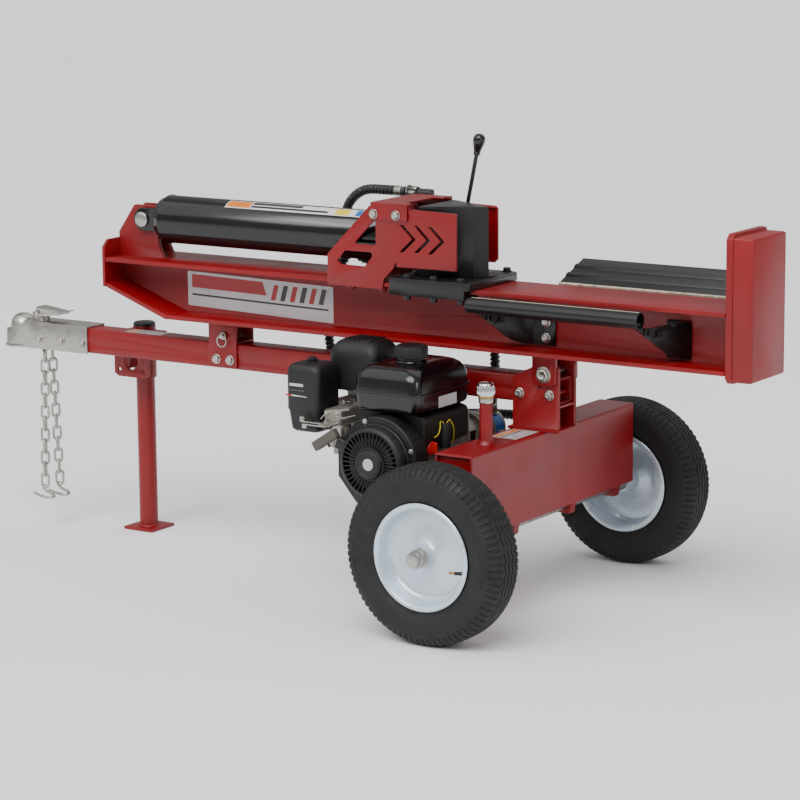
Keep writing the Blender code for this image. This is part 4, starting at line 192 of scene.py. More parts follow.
def materials(sizes, colours):
    """Every finish of the machine, by a short key."""
    peel = sizes.peel
    return {
        # sprayed and baked enamel: faint ripple, clear gloss, a little road dust
        "red": finish(
            "baked_red_enamel_sprayed", colours.red, 0.40, grain=peel, bump=0.10, blotch=0.12, spread=0.06,
            tone=0.09, dust="5A0A10", dusting=0.10,
        ),
        # the same enamel in black, satin, with handling scuffs
        "black": finish(
            "satin_black_enamel_sprayed", colours.black, 0.36, grain=peel, bump=0.12, blotch=0.08,
            spread=0.08, tone=0.15, dust="232325", dusting=0.10, coat=0.10,
        ),
        # full-gloss black of the cylinder and the fuel tank
        "gloss": finish(
            "gloss_black_enamel_sprayed", "060608", 0.18, grain=peel, bump=0.05, blotch=0.10, spread=0.05,
            tone=0.15, dust="1A1A1C", dusting=0.05, coat=0.2,
        ),
        # bright zinc plate, cloudy and faintly grained by rolling
        "zinc": finish(
            "zinc_plated_steel_stamped", colours.zinc, 0.32, 1.0, grain=0.0012, bump=0.12, blotch=0.018,
            spread=0.08, tone=0.08, dust="6C675E", dusting=0.10,
        ),
        # steel worn bright, with fine scratches
        "steel": finish(
            "bare_steel_worn", "9A9896", 0.38, 1.0, grain=0.0009, bump=0.25, blotch=0.02, spread=0.16,
            tone=0.20, dust="4B3B30", dusting=0.35, stretch=(1.0, 4.0, 4.0),
        ),
        # ground and chromed rod and caps
        "chrome": finish(
            "hard_chrome_ground", "D8DADD", 0.08, 1.0, grain=0.0006, bump=0.02, blotch=0.03, spread=0.03,
            tone=0.04,
        ),
        # open, slightly chalky die casting
        "cast": finish(
            "die_cast_aluminium_blasted", "98948C", 0.50, 0.85, grain=0.0011, bump=0.40, blotch=0.03,
            spread=0.10, tone=0.12, dust="45403A", dusting=0.40,
        ),
        # sand-cast iron under thin black paint
        "iron": finish(
            "sand_cast_iron_painted", "1B1B1C", 0.48, grain=0.0014, bump=0.60, blotch=0.03, spread=0.10,
            tone=0.20, dust="3B3733", dusting=0.30,
        ),
        # tyre compound, grey with bloom and dust
        "tyre": finish(
            "tyre_rubber_moulded", colours.tyre, 0.66, grain=0.0009, bump=0.22, blotch=0.03, spread=0.12,
            tone=0.18, dust="262220", dusting=0.30,
        ),
        # stove-enamelled rim, smooth and cold white
        "rim": finish(
            "white_stove_enamel_rim", colours.rim, 0.24, 0.35, grain=peel, bump=0.05, blotch=0.05,
            spread=0.06, tone=0.04, dust="A3A6A8", dusting=0.12, coat=0.4,
        ),
        # hose cover rubber
        "hose": finish(
            "hose_rubber_extruded", "17181A", 0.55, grain=0.0007, bump=0.20, blotch=0.03, spread=0.10,
            tone=0.18, dust="3D3A36", dusting=0.30,
        ),
        # polyethylene spiral guard, slightly waxy
        "guard": finish(
            "polyethylene_spiral_guard", "2A2B2E", 0.34, grain=0.0008, bump=0.15, blotch=0.03, spread=0.10,
            tone=0.15, dust="45423E", dusting=0.25,
        ),
        # spark-eroded plastic texture of the engine's covers
        "plastic": finish(
            "nylon_cover_spark_textured", colours.plastic, 0.50, grain=0.0006, bump=0.35, blotch=0.04,
            spread=0.08, tone=0.18, dust="35332F", dusting=0.22,
        ),
        "grey": finish(
            "grey_nylon_moulded", "4A453F", 0.55, grain=0.0006, bump=0.30, blotch=0.02, spread=0.08,
            tone=0.15,
        ),
        "brass": finish(
            "turned_brass", "B08A45", 0.28, 1.0, grain=0.0006, bump=0.08, blotch=0.01, spread=0.08,
            tone=0.12,
        ),
        "cap": finish(
            "red_nylon_moulded", "B5160E", 0.42, grain=0.0006, bump=0.20, blotch=0.01, spread=0.08,
            tone=0.10,
        ),
        # painted highlight: a light cream stripe, with dark patches, standing in for the reflections along
        # the log bar's top and the log table's near edge
        "painted_highlight": finish(
            "painted_highlight_stripe", "B9AC97", 0.48, grain=0.0010, bump=0.30, blotch=0.006, spread=0.18,
            tone=0.22, dust="4A433B", dusting=0.75,
        ),
        "scuffed": finish(
            "black_enamel_worn_to_steel", "1E1C1C", 0.36, 0.3, grain=0.0010, bump=0.30, blotch=0.012,
            spread=0.14, tone=0.25, dust="0C0C0D", dusting=0.5,
        ),
        "label": finish(
            "vinyl_label_silver", "B9B9BB", 0.30, grain=0.0008, bump=0.04, blotch=0.05, spread=0.05,
            tone=0.06,
        ),
        "white": finish(
            "vinyl_label_white", "DAD9D4", 0.35, grain=0.0008, bump=0.04, blotch=0.05, spread=0.05,
            tone=0.03,
        ),
        "orange": finish(
            "vinyl_label_orange", "DD7A1C", 0.35, grain=0.0008, bump=0.04, blotch=0.05, spread=0.05,
            tone=0.04,
        ),
        "yellow": finish(
            "vinyl_label_yellow", "E3C21E", 0.35, grain=0.0008, bump=0.04, blotch=0.05, spread=0.05,
            tone=0.04,
        ),
        "blue": finish(
            "vinyl_label_blue", "1E63B4", 0.35, grain=0.0008, bump=0.04, blotch=0.05, spread=0.05,
            tone=0.04,
        ),
        "print": finish(
            "vinyl_label_red_print", "9C1019", 0.32, grain=0.0008, bump=0.04, blotch=0.05, spread=0.05,
            tone=0.05,
        ),
        "ink": finish(
            "vinyl_label_dark_print", "2B2B2E", 0.35, grain=0.0008, bump=0.04, blotch=0.05, spread=0.05,
            tone=0.08,
        ),
        "wire": finish(
            "yellow_pvc_wire", "C9B21F", 0.40, grain=0.0008, bump=0.05, blotch=0.02, spread=0.05, tone=0.05,
        ),
    }


# ---------------------------------------------------------------- shapes
def from_bmesh(name, bm, turn=None, merge=1e-6):
    """A smooth-shaded object of a bmesh, in the row frame."""
    bmesh.ops.remove_doubles(bm, verts=bm.verts, dist=merge)
    bmesh.ops.recalc_face_normals(bm, faces=bm.faces)
    if turn:
        bmesh.ops.transform(bm, matrix=turn, verts=bm.verts)
    bmesh.ops.translate(bm, vec=(AXLE_X, 0, 0), verts=bm.verts)
    mesh = bpy.data.meshes.new(name)
    bm.to_mesh(mesh)
    bm.free()
    mesh.shade_smooth()
    mesh.set_sharp_from_angle(angle=math.radians(32))
    obj = bpy.data.objects.new(name, mesh)
    bpy.context.collection.objects.link(obj)
    return obj


def axis_turn(axis, centre):
    """Turns +Z to that axis and moves to centre."""
    if isinstance(axis, str):
        axis = {"X": (1, 0, 0), "Y": (0, 1, 0), "Z": (0, 0, 1)}[axis]
    return Matrix.Translation(centre) @ Vector(axis).to_track_quat("Z", "Y").to_matrix().to_4x4()


def lathe(name, outline, centre, axis="Y", steps=ROUND):
    """An outline of (radius, along) points turned about an axis through centre."""
    bm = bmesh.new()
    rings = []
    for radius, along in outline:
        if radius < 1e-7:
            rings.append([bm.verts.new((0, 0, along))])
        else:
            angles = [2 * math.pi * k / steps for k in range(steps)]
            rings.append(
                [bm.verts.new((radius * math.cos(a), radius * math.sin(a), along)) for a in angles],
            )
    closed = min(radius for radius, _ in outline) > 1e-7
    pairs = list(zip(rings, rings[1:])) + ([(rings[-1], rings[0])] if closed else [])
    for a, b in pairs:
        for k in range(steps):
            n = (k + 1) % steps
            corners = [a[k % len(a)], a[n % len(a)], b[n % len(b)], b[k % len(b)]]
            corners = [c for i, c in enumerate(corners) if c not in corners[:i]]
            if len(corners) > 2:
                bm.faces.new(corners)
    return from_bmesh(name, bm, axis_turn(axis, centre))


def softened(outline, radius, steps=3):
    """The outline with its corners rounded off, each by at most radius."""
    out = []
    count = len(outline)
    for i in range(count):
        before, here, after = (Vector(outline[(i + d) % count]) for d in (-1, 0, 1))
        a, b = before - here, after - here
        if a.length < 1e-9 or b.length < 1e-9:
            continue
        reach = min(radius, a.length * 0.45, b.length * 0.45)
        p, q = here + a.normalized() * reach, here + b.normalized() * reach
        for k in range(steps + 1):
            t = k / steps
            out.append(tuple((1 - t) ** 2 * p + 2 * t * (1 - t) * here + t**2 * q))
    return out


def slab(name, outline, low, high, across="Y", edge=0.0010, segments=2):
    """A flat outline pushed from low to high along an axis, with eased edges."""
    spread = {
        "X": lambda a, b, c: (c, a, b), "Y": lambda a, b, c: (a, c, b), "Z": lambda a, b, c: (a, b, c),
    }[across]
    bm = bmesh.new()
    face = bm.faces.new([bm.verts.new(spread(a, b, low)) for a, b in outline])
    pushed = bmesh.ops.extrude_face_region(bm, geom=[face])
    bmesh.ops.translate(
        bm, vec=spread(0, 0, high - low),
        verts=[v for v in pushed["geom"] if isinstance(v, bmesh.types.BMVert)],
    )
    obj = from_bmesh(name, bm)
    if edge:
        ease(obj, edge, segments)
    return obj


def block(name, low, high, edge=0.002, segments=3):
    """A box between two corners with rounded edges."""
    bm = bmesh.new()
    bmesh.ops.create_cube(bm, size=1)
    bmesh.ops.scale(bm, vec=[high[i] - low[i] for i in range(3)], verts=bm.verts)
    bmesh.ops.translate(bm, vec=[(high[i] + low[i]) / 2 for i in range(3)], verts=bm.verts)
    bmesh.ops.bevel(
        bm, geom=bm.edges[:], offset=edge, segments=segments, profile=0.5, affect="EDGES",
        clamp_overlap=True,
    )
    return from_bmesh(name, bm)


def ease(obj, width, segments=2):
    """Eased edges by a bevel modifier."""
    change = obj.modifiers.new("edges", "BEVEL")
    change.width = width
    change.segments = segments
    change.limit_method = "ANGLE"
    change.angle_limit = math.radians(40)
    change.harden_normals = True
    return obj


def bar(name, start, end, radius, steps=32, edge=0.0006):
    """A round bar with eased ends."""
    start, end = Vector(start), Vector(end)
    length = (end - start).length
    edge = min(edge, radius * 0.5, length * 0.4)
    outline = [
        (0, 0), (radius - edge, 0), (radius, edge), (radius, length - edge), (radius - edge, length),
        (0, length),
    ]
    return lathe(name, outline, start, end - start, steps)


def hexagon(name, base, direction, across, height):
    """A hexagon nut or bolt head standing on a face, its top corners turned off, over a thin washer."""
    bm = bmesh.new()
    rings = []
    for r, h in (
        (across, 0), (across, height * 0.82), (across * 0.90, height), (across * 0.55, height),
        (across * 0.50, height * 0.9),
    ):
        rings.append(
            [
                bm.verts.new((r * math.cos(math.pi * k / 3), r * math.sin(math.pi * k / 3), h))
                for k in range(6)
            ],
        )
    for a, b in zip(rings, rings[1:]):
        for k in range(6):
            bm.faces.new((a[k], a[(k + 1) % 6], b[(k + 1) % 6], b[k]))
    bm.faces.new(rings[0])
    bm.faces.new(rings[-1])
    head = from_bmesh(name, bm, axis_turn(direction, base))
    ease(head, 0.0004, 1)
    washer = lathe(
        name + "_washer",
        [
            (0, 0), (across * 1.18, 0), (across * 1.22, 0.0004), (across * 1.22, 0.0014),
            (across * 1.18, 0.0018), (0, 0.0018),
        ],
        base, direction, 28,
    )
    return united(head, washer)


def united(first, *others):
    """Several objects made one, their modifiers applied."""
    depsgraph = bpy.context.evaluated_depsgraph_get()
    bm = bmesh.new()
    slots = []
    for obj in (first, *others):
        mesh = bpy.data.meshes.new_from_object(obj.evaluated_get(depsgraph))
        mesh.transform(obj.matrix_world)
        offset = len(slots)
        slots += list(obj.data.materials)
        start = len(bm.faces)
        bm.from_mesh(mesh)
        bm.faces.ensure_lookup_table()
        for face in bm.faces[start:]:
            face.material_index += offset
        bpy.data.meshes.remove(mesh)
    mesh = bpy.data.meshes.new(first.name)
    bm.to_mesh(mesh)
    bm.free()
    mesh.set_sharp_from_angle(angle=math.radians(32))
    for made in slots:
        mesh.materials.append(made)
    name = first.name
    for obj in (first, *others):
        bpy.data.objects.remove(obj)
    obj = bpy.data.objects.new(name, mesh)
    bpy.context.collection.objects.link(obj)
    return obj


def routed(points, spacing):
    """Points at an even spacing along a smooth curve through the route's own points."""
    points = [Vector(p) for p in points]
    ends = [2 * points[0] - points[1]] + points + [2 * points[-1] - points[-2]]
    fine = []
    for a, b, c, d in zip(ends, ends[1:], ends[2:], ends[3:]):
        for k in range(40):
            t = k / 40
            fine.append(
                0.5 * (
                    2 * b + (c - a) * t + (
                        2 * a - 5 * b + 4 * c - d
                    ) * t**2 + (3 * b - a - 3 * c + d) * t**3
                ),
            )
    fine.append(points[-1])
    length = sum((q - p).length for p, q in zip(fine, fine[1:]))
    steps = max(2, round(length / spacing))
    even, walked, target = [fine[0]], 0.0, length / steps
    for p, q in zip(fine, fine[1:]):
        stretch = (q - p).length
        while walked + stretch >= target and len(even) < steps:
            even.append(p.lerp(q, (target - walked) / stretch))
            target += length / steps
        walked += stretch
    return even + [fine[-1]]


def tube(name, points, radius, steps=16, closed=False):
    """A tube along points; radius is a number, or a function of the distance gone and the angle round it."""
    points = [Vector(p) for p in points]
    count = len(points)
    bm = bmesh.new()
    rings = []
    side, gone = None, 0.0
    for i, point in enumerate(points):
        before = points[i - 1] if i or closed else point
        after = points[(i + 1) % count] if i + 1 < count or closed else point
        along = (after - before).normalized()
        side = side or along.orthogonal().normalized()
        side = (side - along * side.dot(along)).normalized()
        up = along.cross(side)
        if i:
            gone += (point - points[i - 1]).length
        angles = [2 * math.pi * k / steps for k in range(steps)]
        sizes = [radius(gone, a) if callable(radius) else radius for a in angles]
        rings.append(
            [
                bm.verts.new(point + r * (side * math.cos(a) + up * math.sin(a))) for r,
                a in zip(sizes, angles)
            ],
        )
    for i in range(count if closed else count - 1):
        near, far = rings[i], rings[(i + 1) % count]
        for k in range(steps):
            bm.faces.new((near[k], near[(k + 1) % steps], far[(k + 1) % steps], far[k]))
    if not closed:
        bm.faces.new(rings[0])
        bm.faces.new(rings[-1])
    return from_bmesh(name, bm)


def arc(centre, radius, start, end, steps):
    """Points of a round stretch, angles in degrees."""
    angles = [math.radians(start + (end - start) * k / steps) for k in range(steps + 1)]
    return [(centre[0] + radius * math.cos(a), centre[1] + radius * math.sin(a)) for a in angles]


def place(obj, name, finish_made, body, *nodes):
    """Names a piece, gives it its finish, and lets it ride its body in place of those CAD nodes."""
    obj.name = name
    if finish_made is not None and not obj.data.materials:
        obj.data.materials.append(finish_made)
    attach(obj, body)
    if nodes:
        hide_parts(*nodes)
    return obj


def painted(obj, made):
    """The same object with that finish, for joining with pieces of other finishes."""
    obj.data.materials.clear()
    obj.data.materials.append(made)
    return obj


def dressed(node, made, edge=0.0, segments=2):
    """Keeps a CAD node as it is, with its real finish and eased edges."""
    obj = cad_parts[node]
    obj.data.materials.clear()
    obj.data.materials.append(made)
    obj.data.shade_smooth()
    obj.data.set_sharp_from_angle(angle=math.radians(32))
    if edge:
        weld = obj.modifiers.new("weld", "WELD")
        weld.merge_threshold = 0.00002
        ease(obj, edge, segments)
    return obj


def context_of(context):
    """The sidebar's settings and the finishes made from them."""
    sizes, colours = context.scene.splitter_sizes, context.scene.splitter_colours
    return sizes, materials(sizes, colours)


def looks_of(context):
    """The finishes alone, for pieces that read no size."""
    return context_of(context)[1]


# ---------------------------------------------------------------- wheels
AXLE_Z = 0.205
WHEEL_Y = 0.452


def tyre_shape(side, depth):
    """A tyre: zig-zag grooves round the tread, notched ribs over the shoulders, rings on the side walls."""
    half = [
        (0.1135, -0.0405), (0.1225, -0.0445), (0.1290, -0.0480), (0.1330, -0.0490), (0.1480, -0.0552),
        (0.1640, -0.0575), (0.1780, -0.0560), (0.1900, -0.0505), (0.1985, -0.0420), (0.2035, -0.0290),
        (0.2048, -0.0140),
    ]
    section = half + [(r, -y) for r, y in reversed(half)]
    outside = [(p.x, p.y) for p in routed([(r, y, 0) for r, y in section], 0.0013)]
    inside = [
        (0.119, 0.032), (0.155, 0.050), (0.188, 0.036), (0.193, 0.0), (0.188, -0.036), (0.155, -0.050),
        (0.119, -0.032),
    ]
    steps, ribs, waves = 640, 80, 44

    def sunk(a, r, y):
        """How far the surface is cut in at that angle and place on the section."""
        wave = 0.0026 * (4 * abs((a * waves / (2 * math.pi)) % 1 - 0.5) - 1)
        gap = min(abs(y - mid - wave) for mid in (-0.0215, -0.0072, 0.0072, 0.0215))
        groove = max(0.0, min(1.0, (0.0026 - gap) / 0.0012)) * (r > 0.199)
        turn = abs((a * ribs / (2 * math.pi)) % 1 - 0.5) * 2
        notch = max(0.0, min(1.0, (0.42 - turn) / 0.18)) * max(0.0, min(1.0, (r - 0.1800) / 0.004)) * max(
            0.0, min(1.0, (abs(y) - 0.0305) / 0.003),
        )
        ring = 0.0007 * (
            math.exp(
                -(((r - 0.1710) / 0.0012) ** 2),
            ) + math.exp(-(((r - 0.1310) / 0.0012) ** 2)) + math.exp(-(((r - 0.1450) / 0.0009) ** 2))
        )
        return depth * max(groove, 0.55 * notch) + ring

    bm = bmesh.new()
    rows = []
    for k in range(steps):
        a = 2 * math.pi * k / steps
        row = []
        for i, (r, y) in enumerate(outside):
            drop = sunk(a, r, y)
            before, after = outside[max(0, i - 1)], outside[min(len(outside) - 1, i + 1)]
            run = Vector((after[0] - before[0], after[1] - before[1])).normalized()
            row.append((r - drop * run.y, y + drop * run.x))
        row += inside
        rows.append([bm.verts.new((r * math.cos(a), side * y, r * math.sin(a))) for r, y in row])
    for k in range(steps):
        near, far = rows[k], rows[(k + 1) % steps]
        for i in range(len(near)):
            j = (i + 1) % len(near)
            bm.faces.new((near[i], near[j], far[j], far[i]))
    return from_bmesh("tyre", bm, Matrix.Translation((0, side * WHEEL_Y, AXLE_Z)))


def rim_shape(side):
    """A pressed, dished rim with rolled edges on a hub tube."""
    outline = [
        (0.0131, -0.0458), (0.0225, -0.0458), (0.0232, -0.0440), (0.0240, -0.0200), (0.0300, -0.0060),
        (0.0450, 0.0040), (0.0620, 0.0095),
        (0.0850, 0.0110), (0.1000, 0.0090), (0.1072, 0.0030), (0.1085, -0.0060), (0.1085, -0.0440),
        (0.1105, -0.0490), (0.1150, -0.0512),
        (0.1205, -0.0512), (0.1230, -0.0490), (0.1222, -0.0470), (0.1160, -0.0470), (0.1132, -0.0440),
        (0.1132, 0.0440), (0.1160, 0.0470),
        (0.1222, 0.0470), (0.1230, 0.0490), (0.1205, 0.0513), (0.1150, 0.0515), (0.1110, 0.0490),
        (0.1085, 0.0430), (0.1075, 0.0330),
        (0.1045, 0.0230), (0.0990, 0.0165), (0.0900, 0.0135), (0.0760, 0.0140), (0.0600, 0.0160),
        (0.0440, 0.0205), (0.0320, 0.0245), (0.0262, 0.0290),
        (0.0235, 0.0350), (0.0228, 0.0465), (0.0131, 0.0465),
    ]
    return lathe("rim", [(r, side * y) for r, y in outline], (0, side * WHEEL_Y, AXLE_Z), "Y", 128)


def make_wheel(side, name, sizes, looks):
    """One wheel: tyre, rim, dust cap and valve stem."""
    body = name + "_wheel"
    place(tyre_shape(side, sizes.tread_depth), name + "_tyre_shell", looks["tyre"], body, name + "_tyre")
    place(rim_shape(side), name + "_rim_disc", looks["rim"], body, name + "_rim")
    out = lambda along: side * (WHEEL_Y + along)
    cup = [
        (0.0, 0.0845), (0.0128, 0.0845), (0.0152, 0.0838), (0.0164, 0.0820), (0.0168, 0.0790),
        (0.0168, 0.0700), (0.0200, 0.0690), (0.0208, 0.0670), (0.0208, 0.0610), (0.0200, 0.0590),
        (0.0186, 0.0580), (0.0186, 0.0540), (0.0215, 0.0530), (0.0222, 0.0500), (0.0222, 0.0468),
        (0.0180, 0.0468), (0.0160, 0.0500), (0.0145, 0.0760), (0.0, 0.0810),
    ]
    cap = lathe(
        "cap", [(r, side * (along - 0.0845)) for r, along in cup], (0, out(0.0845), AXLE_Z), "Y", 72,
    )
    place(cap, name + "_dust_cap", looks["zinc"], body)
    angle = math.radians(-14 if side < 0 else 194)
    foot = Vector((0.1070 * math.cos(angle), out(0.034), AXLE_Z + 0.1070 * math.sin(angle)))
    lean = Vector((-0.62 * math.cos(angle), side * 0.72, -0.62 * math.sin(angle))).normalized()
    stem = lathe(
        "stem",
        [
            (0.0, 0.0), (0.0058, 0.0), (0.0050, 0.004), (0.0040, 0.010), (0.0040, 0.020), (0.0036, 0.022),
            (0.0, 0.022),
        ],
        foot, lean, 24,
    )
    tip = lathe(
        "tip",
        [
            (0.0, 0.0), (0.0030, 0.0), (0.0030, 0.002), (0.0026, 0.0025), (0.0026, 0.008), (0.0032, 0.0085),
            (0.0032, 0.0125), (0.0, 0.0130),
        ],
        foot + lean * 0.0215, lean, 20,
    )
    place(
        united(painted(stem, looks["hose"]), painted(tip, looks["brass"])), name + "_valve_stem", None,
        body,
    )


# ---------------------------------------------------------------- oil tank, axle, filler and breather
def make_axle_parts(looks):
    """The oil tank with its labels, the axle, the filler neck and the breather cap."""
    dressed("oil_tank", looks["red"])
    inner = WHEEL_Y - 0.0463
    shaft = bar("shaft", (0, -inner - 0.09, AXLE_Z), (0, inner + 0.09, AXLE_Z), 0.0127, 48)
    rings = []
    for side in (-1, 1):
        collar = [
            (0.0128, 0.3775), (0.0180, 0.3775), (0.0190, 0.3790), (0.0190, inner - 0.0015), (0.0180, inner),
            (0.0128, inner),
        ]
        rings.append(lathe("collar", [(r, side * y) for r, y in collar], (0, 0, AXLE_Z), "Y", 48))
    place(united(shaft, *rings), "axle_bar", looks["steel"], "chassis", "axle_shaft")
    x, y = 0.008, -0.235
    neck = [
        (0.0125, 0.4163), (0.0205, 0.4163), (0.0195, 0.4185), (0.0172, 0.4212), (0.0156, 0.4250),
        (0.0150, 0.4290), (0.0150, 0.5095), (0.0145, 0.5108), (0.0125, 0.5108),
    ]
    place(
        lathe("neck", neck, (x, y, 0), "Z", 48), "filler_neck_tube", looks["red"], "chassis", "filler_neck",
    )
    cap = [(0.0, 0.5575), (0.0128, 0.5575), (0.0160, 0.5563), (0.0182, 0.5538), (0.0190, 0.5508)]
    top = lathe("top", cap + [(0.0190, 0.5285), (0.0, 0.5285)], (x, y, 0), "Z", 64)
    brass = lathe(
        "ring",
        [
            (0.0, 0.5283), (0.0178, 0.5283), (0.0184, 0.5275), (0.0184, 0.5235), (0.0176, 0.5228),
            (0.0, 0.5228),
        ],
        (x, y, 0), "Z", 48,
    )
    steel = lathe(
        "seat",
        [
            (0.0, 0.5226), (0.0165, 0.5226), (0.0170, 0.5215), (0.0170, 0.5130), (0.0164, 0.5114),
            (0.0119, 0.5114), (0.0119, 0.4900), (0.0, 0.4900),
        ],
        (x, y, 0), "Z", 48,
    )
    flutes = []
    for k in range(16):
        a = 2 * math.pi * k / 16
        at = (x + 0.0184 * math.cos(a), y + 0.0184 * math.sin(a), 0)
        flutes.append(
            lathe(
                "flute",
                [
                    (0.0, 0.5310), (0.0018, 0.5312), (0.0026, 0.5322), (0.0026, 0.5475), (0.0019, 0.5490),
                    (0.0, 0.5494),
                ],
                at, "Z", 12,
            ),
        )
    chromed = [painted(piece, looks["chrome"]) for piece in (top, *flutes)]
    place(
        united(*chromed, painted(brass, looks["brass"]), painted(steel, looks["zinc"])),
        "breather_cap_turned", None, "breather", "breather_cap",
    )
    label = slab(
        "label", softened([(-0.027, -0.160), (0.041, -0.160), (0.041, -0.053), (-0.027, -0.053)], 0.003),
        0.4161, 0.4164, "Z", 0,
    )
    place(label, "tank_top_label", looks["label"], "chassis")
    bar_a = slab(
        "bar", [(-0.022, -0.155), (-0.008, -0.155), (-0.008, -0.058), (-0.022, -0.058)], 0.41638, 0.41652,
        "Z", 0,
    )
    bar_b = slab(
        "bar", [(-0.003, -0.155), (0.002, -0.155), (0.002, -0.058), (-0.003, -0.058)], 0.41638, 0.41652,
        "Z", 0,
    )
    place(
        united(painted(bar_a, looks["orange"]), painted(bar_b, looks["ink"])), "tank_top_label_bars", None,
        "chassis",
    )


# ---------------------------------------------------------------- tongue, upright and brackets
def bolts(name, made, body, places, size=0.0095, height=0.0072):
    """Hexagon heads with washers, standing on faces: (point, direction) each."""
    heads = [hexagon(name, point, direction, size, height) for point, direction in places]
    return place(united(*heads) if len(heads) > 1 else heads[0], name, made, body)


def make_tongue_parts(looks):
    """The tongue, upright and brackets with their bolts."""
    for node in ("tongue_tube", "upright_frame", "beam_rest_bracket", "stand_bracket"):
        dressed(node, looks["red"], 0.0009)
    dressed("engine_mount_plate", looks["red"], 0.0009)
    dressed("tilt_pivot_bolt", looks["zinc"], 0.0006)
    dressed("beam_lock_pin", looks["zinc"], 0.0005)
    dressed("stand_pin", looks["zinc"], 0.0006)
    face = 0.04205
    places = [((x, s * face, z), (0, s, 0)) for x, z in ((-0.019, 0.500), (0.061, 0.501)) for s in (-1, 1)]
    bolts("upright_bolt_heads", looks["zinc"], "chassis", places, 0.0102, 0.0092)
    rest = 0.03705
    places = [((x, s * rest, 0.500), (0, s, 0)) for x in (-0.896, -0.855) for s in (-1, 1)]
    bolts("rest_bolt_heads", looks["zinc"], "chassis", places, 0.0102, 0.0092)
    places = [((0.051, s * 0.0528, 0.550), (0, s, 0)) for s in (-1, 1)]
    bolts("tilt_bolt_heads", looks["zinc"], "chassis", places, 0.0158, 0.0108)
    label = slab(
        "label", softened([(-1.197, -0.022), (-1.082, -0.022), (-1.082, 0.022), (-1.197, 0.022)], 0.003),
        0.5401, 0.5404, "Z", 0,
    )
    place(label, "tongue_label", looks["label"], "chassis")
    strips = [
        slab(
            "strip", [(x, -0.018), (x + w, -0.018), (x + w, 0.018), (x, 0.018)], 0.54038, 0.54052, "Z", 0,
        ) for x,
        w in ((-1.190, 0.020), (-1.162, 0.003), (-1.152, 0.003), (-1.142, 0.003))
    ]
    painted(strips[0], looks["orange"])
    for strip in strips[1:]:
        painted(strip, looks["ink"])
    place(united(*strips), "tongue_label_bars", None, "chassis")


def make_stand(looks):
    """The drop stand: leg, foot, cap and sleeve."""
    x, y, r = -1.238, 0.112, 0.024
    tube_outline = [(r, 0.0078), (r, 0.5353), (r - 0.004, 0.5353), (r - 0.004, 0.0078)]
    leg = lathe("leg", tube_outline, (x, y, 0), "Z", 72)
    weld = lathe(
        "weld",
        [
            (r - 0.002, 0.0078), (r + 0.005, 0.0078), (r + 0.0038, 0.0105), (r + 0.0008, 0.0125),
            (r - 0.002, 0.0125),
        ],
        (x, y, 0), "Z", 72,
    )
    foot = block("foot", (x - 0.046, y - 0.048, 0.0), (x + 0.046, y + 0.048, 0.008), 0.0015)
    place(united(leg, weld, foot), "stand_leg_tube", looks["red"], "leg", "stand_leg")
    cap = [
        (0.0, 0.5455), (0.0180, 0.5455), (0.0240, 0.5442), (0.0275, 0.5420), (0.0286, 0.5395),
        (0.0286, 0.5356), (0.0, 0.5356),
    ]
    place(lathe("cap", cap, (x, y, 0), "Z", 72), "stand_leg_cap", looks["plastic"], "leg")
    sleeve = [
        (r + 0.0006, 0.4000), (r + 0.0048, 0.4000), (r + 0.0054, 0.4008), (r + 0.0054, 0.5332),
        (r + 0.0048, 0.5341), (r + 0.0006, 0.5341),
    ]
    place(lathe("sleeve", sleeve, (x, y, 0), "Z", 72), "stand_sleeve", looks["red"], "chassis")
    places = [((bx, 0.03805, 0.500), (0, 1, 0)) for bx in (-1.259, -1.181)]
    bolts("stand_bolt_heads", looks["zinc"], "chassis", places, 0.0102, 0.0080)


# ---------------------------------------------------------------- coupler, latch and chains
def chain_link(centre, facing, long=0.0430, wide=0.0250, wire=0.0032, steps=12):
    """One welded link hanging along Z, its plane along X or Y."""
    half, bend = long / 2 - wide / 2, wide / 2 - wire
    ring = [(bend * math.cos(a), half + bend * math.sin(a)) for a in (math.pi * k / 10 for k in range(11))]
    ring += [(-u, -v) for u, v in ring]
    turn = math.radians(facing)
    points = [
        (centre[0] + u * math.cos(turn), centre[1] + u * math.sin(turn), centre[2] + v) for u, v in ring
    ]
    return tube("link", points, wire, steps, closed=True)


def make_chain(side, name, looks):
    """Thirteen links, each a quarter turn from the last, and a hook from the eye on the coupler's bolt."""
    x, y, z = -1.466, side * 0.014, 0.500
    pitch = 0.0300
    links = []
    for k in range(13):
        centre = (x + side * 0.0004 * k, y + side * 0.0008 * k, z - 0.0150 - k * pitch)
        links.append(chain_link(centre, (28 if k % 2 == 0 else 118) + 4 * side))
    x, y, end = x + side * 0.005, y + side * 0.010, z - 0.0150 - 12 * pitch - 0.0160
    bend = [
        (-0.002, 0.0, 0.004), (-0.006, 0.001, -0.004), (0.0, 0.002, -0.0115), (0.012, 0.001, -0.0155),
        (0.026, -0.001, -0.0190),
    ]
    bend += [
        (0.034, -0.006, -0.0215), (0.034, -0.014, -0.0235), (0.026, -0.019, -0.0240),
        (0.008, -0.020, -0.0230), (-0.014, -0.019, -0.0190), (-0.022, -0.018, -0.0160),
    ]
    hook = tube("hook", routed([(x + u, y + v, end + w) for u, v, w in bend], 0.0022), 0.0038, 14)
    place(
        united(*links, hook), name + "_links", looks["zinc"], "chain_" + name.split("_")[-1],
        "safety_" + name,
    )


